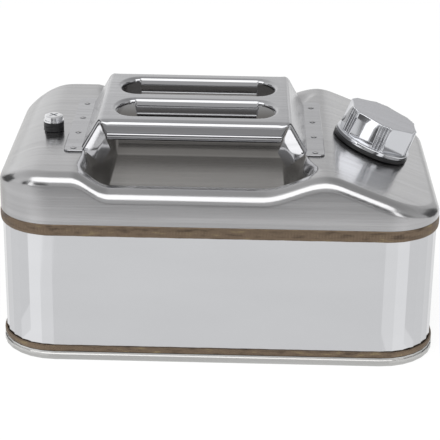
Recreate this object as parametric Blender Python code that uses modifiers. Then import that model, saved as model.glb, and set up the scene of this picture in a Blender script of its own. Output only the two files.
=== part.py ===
"""Stainless steel fuel can: a squat welded can with a pressed top, carrying handle, screw cap and vent.

Units are metres. +X runs along the can to the filler, +Y to its back, +Z up.
The origin is the centre of the footprint, on the surface that the can stands on.
"""
import math

import bmesh
import bpy
from mathutils import Matrix, Vector

# Sheets and clearances
GAP = 0.0003
BODY_SHEET = 0.0010
HANDLE_SHEET = 0.0012

# Body wall: outer faces of the polished wrap
BODY_LENGTH = 0.3450
BODY_DEPTH = 0.2350
BODY_CORNER_RADIUS = 0.0430

# Foot rim and base pan
FOOT_HEIGHT = 0.0071
FOOT_CREASE_HEIGHT = 0.0050
FOOT_FLARE = 0.0020
FOOT_CHANNEL_WIDTH = 0.0080
FOOT_EDGE_RADIUS = 0.0010
BASE_PLATE_HEIGHT = 0.0055
BASE_FLANGE_TOP = 0.0125
BASE_CORNER_RADIUS = 0.0030
BASE_PANEL_INSET = 0.0180
BASE_PANEL_SLOPE = 0.0040
BASE_PANEL_RISE = 0.0025

# Seam welds: rolled bands round the lower and upper lap joints
LOWER_SEAM_HEIGHT = 0.0048
UPPER_SEAM_BOTTOM = 0.1070
UPPER_SEAM_HEIGHT = 0.0092
SEAM_THICKNESS = 0.0012
SEAM_EDGE = 0.0004
WALL_LAP = 0.0012
BUTT_WELD_WIDTH = 0.0030
BUTT_WELD_THICKNESS = 0.0008

# Pressed top: it rises from the upper seam, and its lengths run in from the can's ends and sides
TOP_RISE = 0.0408
SHOULDER_RADIUS = 0.0105
SKIRT_LEAST = 0.0020
SLOPE_ANGLE = math.radians(21.5)
SLOPE_FROM_END = 0.0845
SLOPE_BLEND = 0.0160
END_ROUND_FROM_END = 0.0345
END_ROUND_RADIUS = 0.0400
LIP_DROP = 0.0130
DISH_DROP = 0.0450
DISH_FROM_END = 0.0625
DISH_FROM_SLOPE = 0.0180
DISH_WALL = 0.0190
DISH_FLAT_FROM_SIDE = 0.0675
DISH_RUN_OUT_FROM_SIDE = 0.0110
DISH_RAMP_ROUND = 0.2200
LIP_LEFT_FLARE = 0.0040
LIP_LEFT_WALL = 0.0300
LIP_RIGHT_FLARE = 0.0140
LIP_RIGHT_WALL = 0.0520
LIP_FLARE_RUN = 0.0425
LIP_WALL_RUN = 0.0225

# Handle: its legs stand beside the dish's walls
HANDLE_RISE = 0.0260
HANDLE_LEFT_INSET = 0.0133
HANDLE_RIGHT_INSET = 0.0155
HANDLE_HALF_DEPTH = 0.0640
TOP_EDGE_RADIUS = 0.0052
LEG_EDGE_RADIUS = 0.0035
HANDLE_FLANGE = 0.0160
HANDLE_FLANGE_MITRE = 0.0069
REAR_FLANGE_DROP = 0.0035
REAR_FLANGE_STEP = 0.0030
LEG_FLANGE = 0.0203
LEG_FLANGE_MITRE = 0.0164
LEG_FLANGE_LEAN = 0.2000
FLANGE_RELIEF = 0.0003
LEG_SPREAD = 0.0140
LEG_BEND_RADIUS = 0.0030
FOOT_PAD_WIDTH = 0.0150
FOOT_PAD_OVERHANG = 0.0020
FOOT_PAD_CORNER = 0.0050
SLOT_FROM_BEND = 0.0121
SLOT_FROM_SIDE = 0.0150
SLOT_BRIDGE = 0.0160
SLOT_END = 0.0130
SLOT_CURL_RADIUS = 0.0038
SLOT_CURL_DEPTH = 0.0045
SLOT_FLAP_DEPTH = 0.0152
SLOT_FLAP_CORNER = 0.0015

# Spot welds that hold the handle's feet; their rows run nearer to the feet's front ends
SPOT_WELD_RADIUS = 0.0026
SPOT_WELD_HEIGHT = 0.0004
SPOT_WELD_FROM_FRONT = 0.0060
SPOT_WELD_FROM_BACK = 0.0150
SPOT_WELD_COUNT = 4

# Filler neck and cap, along an axis that stands square on the slope
NECK_FROM_END = 0.0500
NECK_RADIUS = 0.0210
NECK_WALL = 0.0022
NECK_HEIGHT = 0.0217
NECK_DEPTH = 0.0080
NECK_WELD_SIZE = 0.0030
GASKET_WIDTH = 0.0116
GASKET_THICKNESS = 0.0034
GASKET_EDGE = 0.0008
CAP_FLANGE_INSET = 0.0004
CAP_FLANGE_HEIGHT = 0.0034
CAP_FLANGE_STEP = 0.0014
CAP_TAPER = 0.0005
CAP_EDGE_RADIUS = 0.0008
CAP_FLUTES = 6
CAP_FLUTE_DEPTH = 0.0028
CAP_FLUTE_RADIUS = 0.1000
CAP_RIB_GROOVE_RADIUS = 0.0009
CAP_ROOF = 0.0015
INSERT_WALL = 0.0018
THREAD_CLEARANCE = 0.0006
INSERT_ROOF = 0.0012
PLATE_THICKNESS = 0.0016
SEAL_THICKNESS = 0.0020
DISC_CLEARANCE = 0.0008

# Vent
VENT_FROM_END = 0.0345
VENT_Y = -0.0135
VENT_BOSS_RADIUS = 0.0060
VENT_BOSS_WALL = 0.0018
VENT_BOSS_DEPTH = 0.0090
VENT_BOSS_FLANGE_WIDTH = 0.0018
VENT_BOSS_FLANGE = 0.0015
VENT_SEAT_CLEARANCE = 0.0008
VENT_WASHER_WALL = 0.0020
VENT_WASHER_HEIGHT = 0.0070
VENT_WASHER_GROOVE = 0.0004
VENT_HEAD_INSET = 0.0009
VENT_HEAD_HEIGHT = 0.0052
VENT_HEAD_CHAMFER = 0.0008
VENT_FLANGE_HEIGHT = 0.0012
VENT_SCREW_DEPTH = 0.0070
VENT_CROSS_LENGTH = 0.0085
VENT_CROSS_WIDTH = 0.0016
VENT_CROSS_DEPTH = 0.0014

# Facets: how many steps each round or blended stretch is cut into
CORNER_STEPS = 7
SHOULDER_STEPS = 5
ROUND_STEPS = 48
SMALL_ROUND_STEPS = 32
CAP_SIDE_STEPS = 72
FLUTE_STEPS = 96
GROOVE_STEPS = 6
NUGGET_STEPS = 16
BEAD_STEPS = 6
EDGE_STEPS = 4
SLOT_END_STEPS = 10
END_ROUND_STEPS = 4
PLATEAU_STEPS = 2
DISH_WALL_STEPS = 7
DISH_FLOOR_STEPS = 3
DISH_RAMP_STEPS = 3
SLOPE_BLEND_STEPS = 4
SLOPE_STEPS = 3
SHARP_ANGLE = math.radians(35.0)
MERGE_DISTANCE = 0.00003
SLOPE_PROBE = 0.0003

# Worked out: base and wall
FOOT_TOP_FLARE = BODY_SHEET + GAP
LOWER_SEAM_BOTTOM = FOOT_HEIGHT + GAP
UPPER_SEAM_TOP = UPPER_SEAM_BOTTOM + UPPER_SEAM_HEIGHT
BUTT_WELD_BOTTOM = LOWER_SEAM_BOTTOM + LOWER_SEAM_HEIGHT + GAP

# Worked out: pressed top
TOP_OFFSET = GAP + BODY_SHEET
SKIRT_BOTTOM = UPPER_SEAM_TOP + GAP
PLATEAU_HEIGHT = UPPER_SEAM_TOP + TOP_RISE
SLOPE_START = BODY_LENGTH / 2 - SLOPE_FROM_END
END_ROUND_START = END_ROUND_FROM_END - BODY_LENGTH / 2
DISH_LEFT = DISH_FROM_END - BODY_LENGTH / 2
DISH_RIGHT = SLOPE_START - DISH_FROM_SLOPE
DISH_FLAT_HALF_DEPTH = BODY_DEPTH / 2 - DISH_FLAT_FROM_SIDE
DISH_RUN_OUT = BODY_DEPTH / 2 - DISH_RUN_OUT_FROM_SIDE
LIP_LEFT = DISH_LEFT - LIP_LEFT_FLARE
LIP_RIGHT = DISH_RIGHT + LIP_RIGHT_FLARE
LIP_FLARE_START = DISH_RUN_OUT - LIP_FLARE_RUN
LIP_WALL_START = DISH_RUN_OUT - LIP_WALL_RUN

# Worked out: handle
HANDLE_TOP = PLATEAU_HEIGHT + HANDLE_RISE
HANDLE_LEFT = DISH_LEFT + HANDLE_LEFT_INSET
HANDLE_RIGHT = DISH_RIGHT - HANDLE_RIGHT_INSET
LEG_FOOT_TOP = PLATEAU_HEIGHT + GAP + HANDLE_SHEET
FOOT_PAD_HALF_DEPTH = HANDLE_HALF_DEPTH + FOOT_PAD_OVERHANG
FIRST_SPOT_WELD = SPOT_WELD_FROM_FRONT - FOOT_PAD_HALF_DEPTH
LAST_SPOT_WELD = FOOT_PAD_HALF_DEPTH - SPOT_WELD_FROM_BACK
SLOT_LENGTH = HANDLE_RIGHT - HANDLE_LEFT - 2 * SLOT_FROM_BEND
SLOT_WIDTH = HANDLE_HALF_DEPTH - SLOT_FROM_SIDE - SLOT_BRIDGE / 2
SLOT_SPACING = SLOT_WIDTH + SLOT_BRIDGE

# Worked out: filler, as radii and as heights above the neck's seat
NECK_X = BODY_LENGTH / 2 - NECK_FROM_END
NECK_BORE_RADIUS = NECK_RADIUS - NECK_WALL
GASKET_RADIUS = NECK_RADIUS + GASKET_WIDTH
CAP_FLANGE_RADIUS = GASKET_RADIUS - CAP_FLANGE_INSET
CAP_BODY_RADIUS = CAP_FLANGE_RADIUS - CAP_FLANGE_STEP
CAP_TOP_RADIUS = CAP_BODY_RADIUS - CAP_TAPER
INSERT_BORE_RADIUS = NECK_RADIUS + THREAD_CLEARANCE
INSERT_RADIUS = INSERT_BORE_RADIUS + INSERT_WALL
DISC_RADIUS = INSERT_BORE_RADIUS - DISC_CLEARANCE
GASKET_TOP = GAP + GASKET_THICKNESS
CAP_BOTTOM = GASKET_TOP + GAP
SEAL_BOTTOM = NECK_HEIGHT + GAP
PLATE_BOTTOM = SEAL_BOTTOM + SEAL_THICKNESS + GAP
INSERT_ROOF_BOTTOM = PLATE_BOTTOM + PLATE_THICKNESS + GAP
INSERT_TOP = INSERT_ROOF_BOTTOM + INSERT_ROOF
CAP_TOP = INSERT_TOP + GAP + CAP_ROOF

# Worked out: vent, as radii and as heights above the plateau
VENT_X = VENT_FROM_END - BODY_LENGTH / 2
VENT_BORE_RADIUS = VENT_BOSS_RADIUS - VENT_BOSS_WALL
VENT_BOSS_FLANGE_RADIUS = VENT_BOSS_RADIUS + VENT_BOSS_FLANGE_WIDTH
VENT_WASHER_RADIUS = VENT_BOSS_RADIUS + GAP + VENT_WASHER_WALL
VENT_HEAD_RADIUS = VENT_WASHER_RADIUS - VENT_HEAD_INSET
WASHER_TOP = GAP + VENT_WASHER_HEIGHT
HEAD_BOTTOM = WASHER_TOP + GAP
BOSS_TOP = WASHER_TOP - GAP

# Finishes: colour, roughness and metallic value
POLISHED_STAINLESS = ((0.62, 0.63, 0.65), 0.10, 1.0)
BRUSHED_STAINLESS = ((0.50, 0.50, 0.49), 0.32, 1.0)
HEAT_TINTED_WELD = ((0.20, 0.15, 0.10), 0.45, 1.0)
CHROMED_METAL = ((0.72, 0.73, 0.75), 0.08, 1.0)
BLACK_RUBBER = ((0.02, 0.02, 0.02), 0.60, 0.0)
BLACK_PLASTIC = ((0.03, 0.03, 0.03), 0.40, 0.0)


def clear_scene():
    for item in list(bpy.data.objects):
        bpy.data.objects.remove(item, do_unlink=True)


def make_collection(name):
    group = bpy.data.collections.new(name)
    bpy.context.scene.collection.children.link(group)
    return group


def make_material(name, colour, roughness, metallic):
    material = bpy.data.materials.new(name)
    material.use_nodes = True
    shader = material.node_tree.nodes["Principled BSDF"]
    shader.inputs["Base Color"].default_value = (*colour, 1.0)
    shader.inputs["Roughness"].default_value = roughness
    shader.inputs["Metallic"].default_value = metallic
    return material


def add_object(name, mesh, group, material=None, parent=None):
    item = bpy.data.objects.new(name, mesh)
    group.objects.link(item)
    item.parent = parent
    if material is not None:
        mesh.materials.append(material)
        mesh.shade_smooth()
        mesh.set_sharp_from_angle(angle=SHARP_ANGLE)
    return item


def add_cutter(name, mesh, group, parent=None):
    cutter = add_object(name, mesh, group, parent=parent)
    cutter.hide_render = True
    cutter.display_type = "WIRE"
    return cutter


def mesh_from(name, form):
    mesh = bpy.data.meshes.new(name)
    form.to_mesh(mesh)
    form.free()
    return mesh


def solidify(item, thickness):
    shell = item.modifiers.new("sheet", "SOLIDIFY")
    shell.thickness = thickness
    shell.offset = -1.0
    shell.use_even_offset = True


def boolean(item, other, operation="DIFFERENCE"):
    cut = item.modifiers.new(operation.lower(), "BOOLEAN")
    cut.operation = operation
    cut.object = other


def smoothstep(value):
    """Half a cosine wave from 0 to 1."""
    value = min(max(value, 0.0), 1.0)
    return 0.5 - 0.5 * math.cos(math.pi * value)


def ramp(value, rounding):
    """A straight rise from 0 to 1 whose two ends are rounded over a share of its run."""
    value = min(max(value, 0.0), 1.0)
    rise = 1.0 / (1.0 - rounding)
    if value > 0.5:
        return 1.0 - ramp(1.0 - value, rounding)
    if value < rounding:
        return rise * value * value / (2 * rounding)
    return rise * (value - rounding / 2)


def mix(start, end, share):
    return start + (end - start) * share


def rounded_outline(offset):
    """The can's plan outline, grown by offset, anticlockwise from the back right corner."""
    radius = BODY_CORNER_RADIUS + offset
    centre_x = BODY_LENGTH / 2 - BODY_CORNER_RADIUS
    centre_y = BODY_DEPTH / 2 - BODY_CORNER_RADIUS
    points = []
    for corner, (side_x, side_y) in enumerate(((1, 1), (-1, 1), (-1, -1), (1, -1))):
        for step in range(CORNER_STEPS + 1):
            angle = math.pi / 2 * (corner + step / CORNER_STEPS)
            points.append((side_x * centre_x + radius * math.cos(angle),
                           side_y * centre_y + radius * math.sin(angle)))
    return points


def loft(loops, closed=True):
    """A surface through loops of equal length; each loop is a list of points."""
    form = bmesh.new()
    rows = [[form.verts.new(point) for point in loop] for loop in loops]
    count = len(rows[0])
    last = count if closed else count - 1
    for upper, lower in zip(rows, rows[1:]):
        for index in range(last):
            follow = (index + 1) % count
            form.faces.new((upper[index], lower[index], lower[follow], upper[follow]))
    return form, rows


def outline_sheet(sections, fill_last=False):
    """Loops of the can's outline, one for each (offset, height) of a section."""
    loops = [[(x, y, height) for x, y in rounded_outline(offset)] for offset, height in sections]
    form, rows = loft(loops)
    if fill_last:
        form.faces.new(reversed(rows[-1]))
    return form


def outline_ring(name, sections, group, material):
    """A solid band round the can: a closed section carried along the outline."""
    form = outline_sheet(sections + sections[:1])
    bmesh.ops.remove_doubles(form, verts=form.verts, dist=MERGE_DISTANCE)
    bmesh.ops.recalc_face_normals(form, faces=form.faces)
    return add_object(name, mesh_from(name, form), group, material)


def turned(name, profile, group, material, parent, steps=ROUND_STEPS, closed=True):
    """A profile of (radius, height) points turned about the parent's Z axis.

    The profile runs down its outer side. An open one starts and ends on the axis.
    """
    form = bmesh.new()
    points = [form.verts.new((radius, 0.0, height)) for radius, height in profile]
    for first, second in zip(points, points[1:]):
        form.edges.new((first, second))
    if closed:
        form.edges.new((points[-1], points[0]))
    item = add_object(name, mesh_from(name, form), group, material, parent)
    turn = item.modifiers.new("turn", "SCREW")
    turn.axis = "Z"
    turn.steps = steps
    turn.render_steps = steps
    turn.use_merge_vertices = True
    turn.merge_threshold = MERGE_DISTANCE
    turn.use_smooth_shade = True
    return item


def cylinder_mesh(name, radius, bottom, top, steps):
    form = bmesh.new()
    middle = Matrix.Translation((0.0, 0.0, (bottom + top) / 2))
    bmesh.ops.create_cone(form, cap_ends=True, segments=steps, radius1=radius, radius2=radius,
                          depth=top - bottom, matrix=middle)
    return mesh_from(name, form)


def box_form(size, centre):
    form = bmesh.new()
    place = Matrix.Translation(centre) @ Matrix.Diagonal((*size, 1.0))
    bmesh.ops.create_cube(form, size=1.0, matrix=place)
    return form


def quarter_turn():
    """Angles of a rolled edge, from flat to square."""
    return [math.pi / 2 * step / EDGE_STEPS for step in range(EDGE_STEPS + 1)]


# Base and wall

def make_body_wall(group, material):
    top = UPPER_SEAM_TOP + WALL_LAP
    bottom = BODY_SHEET + GAP
    form = outline_sheet([(0.0, top), (0.0, bottom)])
    wall = add_object("body_wall", mesh_from("body_wall", form), group, material)
    solidify(wall, BODY_SHEET)
    return wall


def make_foot_rim(group, material):
    """A channel that the wall and the base pan stand in."""
    inner = FOOT_FLARE - FOOT_CHANNEL_WIDTH
    sections = [
        (FOOT_TOP_FLARE, FOOT_HEIGHT),
        (FOOT_TOP_FLARE, FOOT_CREASE_HEIGHT + FOOT_FLARE - FOOT_TOP_FLARE),
        (FOOT_FLARE, FOOT_CREASE_HEIGHT),
        (FOOT_FLARE, FOOT_EDGE_RADIUS),
        (FOOT_FLARE - FOOT_EDGE_RADIUS, 0.0),
        (inner + FOOT_EDGE_RADIUS, 0.0),
        (inner, FOOT_EDGE_RADIUS),
        (inner, BASE_PLATE_HEIGHT - GAP),
    ]
    rim = add_object("foot_rim", mesh_from("foot_rim", outline_sheet(sections)), group, material)
    solidify(rim, BODY_SHEET)
    return rim


def make_base_pan(group, material):
    """The bottom plate, with a raised panel, and the flange that stands inside the wall."""
    side = -BODY_SHEET - GAP - BODY_SHEET
    panel = side - BASE_PANEL_INSET
    underside = BASE_PLATE_HEIGHT
    sections = [
        (panel - BASE_PANEL_SLOPE, underside + BASE_PANEL_RISE),
        (panel, underside),
        (side - BASE_CORNER_RADIUS + BODY_SHEET, underside),
        (side + BODY_SHEET, underside + BASE_CORNER_RADIUS),
        (side + BODY_SHEET, BASE_FLANGE_TOP),
    ]
    form = outline_sheet(sections[::-1], fill_last=True)
    pan = add_object("base_pan", mesh_from("base_pan", form), group, material)
    solidify(pan, BODY_SHEET)
    return pan


def seam_sections(bottom, height):
    inner = GAP
    outer = GAP + SEAM_THICKNESS
    top = bottom + height
    return [(inner, top), (outer - SEAM_EDGE, top), (outer, top - SEAM_EDGE),
            (outer, bottom + SEAM_EDGE), (outer - SEAM_EDGE, bottom), (inner, bottom)]


def make_butt_weld(group, material):
    """The upright weld that closes the wrap, down the middle of the can's back."""
    bottom = BUTT_WELD_BOTTOM
    top = UPPER_SEAM_BOTTOM - GAP
    face = BODY_DEPTH / 2 + GAP
    arc = [math.pi * step / BEAD_STEPS for step in range(BEAD_STEPS + 1)]
    section = [(BUTT_WELD_WIDTH / 2 * math.cos(a), face + BUTT_WELD_THICKNESS * math.sin(a)) for a in arc]
    form = bmesh.new()
    base = form.faces.new([form.verts.new((x, y, bottom)) for x, y in section])
    raised = bmesh.ops.extrude_face_region(form, geom=[base])
    moved = [part for part in raised["geom"] if isinstance(part, bmesh.types.BMVert)]
    bmesh.ops.translate(form, verts=moved, vec=(0.0, 0.0, top - bottom))
    bmesh.ops.recalc_face_normals(form, faces=form.faces)
    return add_object("wall_butt_weld", mesh_from("wall_butt_weld", form), group, material)


# Pressed top

def crown_height(x):
    """Height of the top before the dish is pressed: rounded left end, plateau, filler's slope."""
    run = x - (SLOPE_START - SLOPE_BLEND / 2)
    if run <= 0.0:
        fall = 0.0
    elif run < SLOPE_BLEND:
        fall = run * run / (2 * SLOPE_BLEND)
    else:
        fall = run - SLOPE_BLEND / 2
    end_run = max(END_ROUND_START - x, 0.0)
    return PLATEAU_HEIGHT - math.tan(SLOPE_ANGLE) * fall - end_run * end_run / (2 * END_ROUND_RADIUS)


def dish_edges(y):
    """Where the dish's left and right walls start and end, at one depth of the can."""
    flare = smoothstep((abs(y) - LIP_FLARE_START) / (DISH_RUN_OUT - LIP_FLARE_START))
    widen = smoothstep((abs(y) - LIP_WALL_START) / (DISH_RUN_OUT - LIP_WALL_START))
    left = mix(DISH_LEFT, LIP_LEFT, flare)
    right = mix(DISH_RIGHT, LIP_RIGHT, flare)
    return (left, left + mix(DISH_WALL, LIP_LEFT_WALL, widen),
            right - mix(DISH_WALL, LIP_RIGHT_WALL, widen), right)


def dish_depth(y):
    run_out = DISH_RUN_OUT - DISH_FLAT_HALF_DEPTH
    share = ramp((abs(y) - DISH_FLAT_HALF_DEPTH) / run_out, DISH_RAMP_ROUND)
    return mix(DISH_DROP, LIP_DROP, share)


def top_height(x, y):
    outer_left, inner_left, inner_right, outer_right = dish_edges(y)
    if x < inner_left:
        sunk = smoothstep((x - outer_left) / (inner_left - outer_left))
    elif x > inner_right:
        sunk = smoothstep((outer_right - x) / (outer_right - inner_right))
    else:
        sunk = 1.0
    return crown_height(x) - dish_depth(y) * sunk


def spread(start, end, count):
    """Equal steps from start up to, and without, end."""
    return [mix(start, end, step / count) for step in range(count)]


def top_columns(y, edge):
    """X of each line of the top's mesh at one depth; the lines follow the dish's walls."""
    outer_left, inner_left, inner_right, outer_right = dish_edges(y)
    blend_end = SLOPE_START + SLOPE_BLEND / 2
    round_start = max(END_ROUND_START, (outer_left - edge) / 2)
    columns = spread(-edge, round_start, END_ROUND_STEPS)
    columns += spread(round_start, outer_left, PLATEAU_STEPS)
    columns += spread(outer_left, inner_left, DISH_WALL_STEPS)
    columns += spread(inner_left, inner_right, DISH_FLOOR_STEPS)
    columns += spread(inner_right, outer_right, DISH_WALL_STEPS)
    columns += spread(outer_right, blend_end, SLOPE_BLEND_STEPS)
    columns += spread(blend_end, edge, SLOPE_STEPS)
    return columns + [edge]


def top_rows(half_depth, radius):
    """Depths of the mesh's rows, with each row's half length and outward direction."""
    straight = half_depth - radius
    half_length = BODY_LENGTH / 2 + TOP_OFFSET - SHOULDER_RADIUS
    plain = spread(0.0, DISH_FLAT_HALF_DEPTH, PLATEAU_STEPS)
    plain += spread(DISH_FLAT_HALF_DEPTH, straight, DISH_RAMP_STEPS)
    rows = [(y, half_length, 0.0) for y in plain]
    for step in range(CORNER_STEPS + 1):
        angle = math.pi / 2 * step / CORNER_STEPS
        rows.append((straight + radius * math.sin(angle),
                     half_length - radius + radius * math.cos(angle), angle))
    front = [(-y, edge, -angle) for y, edge, angle in rows[:0:-1]]
    return front + rows


def shoulder_point(place, way, share):
    """How far out and down the shoulder is, after a share of its turn from the top to the skirt.

    The turn starts at the slope that the top has there, and ends upright.
    """
    probe = place + way * SLOPE_PROBE
    slope = (top_height(place.x, place.y) - top_height(probe.x, probe.y)) / SLOPE_PROBE
    start = math.atan(max(slope, 0.0))
    angle = mix(start, math.pi / 2, share)
    height = min(SHOULDER_RADIUS, place.z - SKIRT_BOTTOM - SKIRT_LEAST)
    out = SHOULDER_RADIUS * (math.sin(angle) - math.sin(start)) / (1 - math.sin(start))
    fall = height * (math.cos(start) - math.cos(angle)) / math.cos(start)
    return out, fall


def make_top_shell(group, material):
    """The pressed top: a grid over the plan, rolled over at the edge and run down as a skirt."""
    half_depth = BODY_DEPTH / 2 + TOP_OFFSET - SHOULDER_RADIUS
    radius = BODY_CORNER_RADIUS + TOP_OFFSET - SHOULDER_RADIUS
    rows = top_rows(half_depth, radius)
    form = bmesh.new()
    grid = []
    for y, edge, _ in rows:
        grid.append([form.verts.new((x, y, top_height(x, y))) for x in top_columns(y, edge)])
    columns = len(grid[0])
    for lower, upper in zip(grid, grid[1:]):
        for index in range(columns - 1):
            form.faces.new((lower[index], lower[index + 1], upper[index + 1], upper[index]))

    # The border, anticlockwise from the front left, with the way out at each point.
    border = [(vert, Vector((0.0, -1.0, 0.0))) for vert in grid[0]]
    border += [(grid[row][-1], Vector((math.cos(rows[row][2]), math.sin(rows[row][2]), 0.0)))
               for row in range(1, len(rows) - 1)]
    border += [(vert, Vector((0.0, 1.0, 0.0))) for vert in reversed(grid[-1])]
    border += [(grid[row][0], Vector((-math.cos(rows[row][2]), math.sin(rows[row][2]), 0.0)))
               for row in range(len(rows) - 2, 0, -1)]
    inner = [vert for vert, _ in border]
    for step in range(1, SHOULDER_STEPS + 2):
        ring = []
        for vert, way in border:
            out, fall = shoulder_point(vert.co, way, min(step / SHOULDER_STEPS, 1.0))
            place = vert.co + way * out
            height = vert.co.z - fall if step <= SHOULDER_STEPS else SKIRT_BOTTOM
            ring.append(form.verts.new((place.x, place.y, height)))
        count = len(ring)
        for index in range(count):
            follow = (index + 1) % count
            form.faces.new((inner[index], ring[index], ring[follow], inner[follow]))
        inner = ring
    bmesh.ops.recalc_face_normals(form, faces=form.faces)
    shell = add_object("top_shell", mesh_from("top_shell", form), group, material)
    solidify(shell, BODY_SHEET)
    return shell


# Handle

def leg_stations(side, top_x):
    """Stations up one leg and round its bend.

    Each is (fold point, way the flange hangs, front flange depth, rear one, radius of the rolled edge).
    """
    foot_x = top_x + side * LEG_SPREAD
    top = Vector((top_x, 0.0, HANDLE_TOP))
    foot = Vector((foot_x, 0.0, LEG_FOOT_TOP))
    leg = (foot - top).normalized()
    level = Vector((-side, 0.0, 0.0))
    down = Vector((0.0, 0.0, -1.0))
    inward = Vector((leg.z * side, 0.0, -leg.x * side))
    hanging = (inward + leg * LEG_FLANGE_LEAN).normalized()
    bend_in = top + leg * LEG_BEND_RADIUS
    bend_out = top + level * LEG_BEND_RADIUS
    bend_middle = (bend_in + bend_out + top * 2) / 4
    leg_lip = LEG_EDGE_RADIUS + FLANGE_RELIEF
    top_lip = TOP_EDGE_RADIUS + FLANGE_RELIEF
    rear_flange = HANDLE_FLANGE + REAR_FLANGE_DROP
    rear_start = HANDLE_FLANGE_MITRE + REAR_FLANGE_STEP
    return [
        (foot + leg * HANDLE_SHEET / 2, inward, leg_lip, leg_lip, LEG_EDGE_RADIUS),
        (foot - leg * HANDLE_SHEET, hanging, LEG_FLANGE, LEG_FLANGE, LEG_EDGE_RADIUS),
        (top + leg * LEG_FLANGE_MITRE, inward, LEG_FLANGE, LEG_FLANGE, LEG_EDGE_RADIUS),
        (bend_in, inward, leg_lip, leg_lip, LEG_EDGE_RADIUS),
        (bend_middle, (inward + down).normalized(), leg_lip, leg_lip, LEG_EDGE_RADIUS),
        (bend_out, down, top_lip, top_lip, TOP_EDGE_RADIUS),
        (top + level * HANDLE_FLANGE_MITRE, down, HANDLE_FLANGE, HANDLE_FLANGE, TOP_EDGE_RADIUS),
        (top + level * rear_start, down, HANDLE_FLANGE, rear_flange, TOP_EDGE_RADIUS),
    ]


def handle_section(place, hanging, front_depth, rear_depth, radius):
    """Points across the handle at one station: flange, rolled edge, flat, rolled edge, flange."""
    flat = HANDLE_HALF_DEPTH - radius
    rolled = []
    for angle in quarter_turn():
        rolled.append((flat + radius * math.sin(angle), radius * (1 - math.cos(angle))))
    sides = []
    for side, depth in ((-1, front_depth), (1, rear_depth)):
        reach = rolled + [(HANDLE_HALF_DEPTH, depth)]
        sides.append([place + Vector((0.0, side * y, 0.0)) + hanging * fall for y, fall in reach])
    return sides[0][::-1] + sides[1]


def slot_outline(centre_y, grow):
    """A long hole with half-elliptic ends, grown all round, as (x, y, whether a flap hangs there)."""
    middle = (HANDLE_LEFT + HANDLE_RIGHT) / 2
    straight = SLOT_LENGTH / 2 - SLOT_END
    flap = straight - SLOT_FLAP_CORNER
    half_width = SLOT_WIDTH / 2 + grow
    points = []
    for side in (1, -1):
        for step in range(SLOT_END_STEPS + 1):
            angle = -math.pi / 2 + math.pi * step / SLOT_END_STEPS
            points.append((middle + side * (straight + (SLOT_END + grow) * math.cos(angle)),
                           centre_y + side * half_width * math.sin(angle), False))
        points.append((middle + side * flap, centre_y + side * half_width, True))
        points.append((middle - side * flap, centre_y + side * half_width, True))
    return points


def make_slot_cutter(name, centre_y, group):
    """Removes the plate inside the curled lip."""
    half = HANDLE_SHEET * 2
    rim = slot_outline(centre_y, SLOT_CURL_RADIUS)
    loops = [[(x, y, HANDLE_TOP + side * half) for x, y, _ in rim] for side in (1, -1)]
    form, rows = loft(loops)
    form.faces.new(rows[0])
    form.faces.new(reversed(rows[1]))
    bmesh.ops.recalc_face_normals(form, faces=form.faces)
    return add_cutter(name, mesh_from(name, form), group)


def make_slot_lip(name, centre_y, group):
    """The lip that is curled down round a slot, with a deep flap along each of its long sides."""
    sections = [(SLOT_CURL_RADIUS + HANDLE_SHEET, 0.0)]
    for angle in quarter_turn():
        sections.append((SLOT_CURL_RADIUS * (1 - math.sin(angle)), -SLOT_CURL_RADIUS * (1 - math.cos(angle))))
    loops = [[(x, y, HANDLE_TOP + fall) for x, y, _ in slot_outline(centre_y, grow)]
             for grow, fall in sections]
    loops.append([(x, y, HANDLE_TOP - (SLOT_FLAP_DEPTH if flap else SLOT_CURL_DEPTH))
                  for x, y, flap in slot_outline(centre_y, 0.0)])
    form, _ = loft(loops[::-1])
    lip = add_cutter(name, mesh_from(name, form), group)
    solidify(lip, HANDLE_SHEET)
    return lip


def make_foot_pad(name, side, group):
    """A flat foot, welded to the plateau, with its outer corners rounded."""
    inner = (HANDLE_RIGHT + LEG_SPREAD) if side > 0 else (HANDLE_LEFT - LEG_SPREAD)
    size = (FOOT_PAD_WIDTH, FOOT_PAD_HALF_DEPTH * 2, HANDLE_SHEET)
    centre = (inner + side * (FOOT_PAD_WIDTH / 2 - HANDLE_SHEET), 0.0, LEG_FOOT_TOP - HANDLE_SHEET / 2)
    form = box_form(size, centre)
    corners = [edge for edge in form.edges
               if all(side * (vert.co.x - centre[0]) > 0 for vert in edge.verts)
               and abs(edge.verts[0].co.y - edge.verts[1].co.y) < GAP]
    bmesh.ops.bevel(form, geom=corners, offset=FOOT_PAD_CORNER, segments=EDGE_STEPS,
                    affect="EDGES", profile=0.5)
    return add_cutter(name, mesh_from(name, form), group)


def make_handle(group, cutters, material):
    stations = leg_stations(-1, HANDLE_LEFT) + leg_stations(1, HANDLE_RIGHT)[::-1]
    form, _ = loft([handle_section(*station) for station in stations], closed=False)
    handle = add_object("handle", mesh_from("handle", form), group, material)
    solidify(handle, HANDLE_SHEET)
    for side, label in ((-1, "left"), (1, "right")):
        boolean(handle, make_foot_pad(label + "_foot_pad", side, cutters), "UNION")
    for side, label in ((-1, "front"), (1, "rear")):
        centre_y = side * SLOT_SPACING / 2
        boolean(handle, make_slot_cutter(label + "_slot", centre_y, cutters))
        boolean(handle, make_slot_lip(label + "_slot_lip", centre_y, cutters), "UNION")
    return handle


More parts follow.
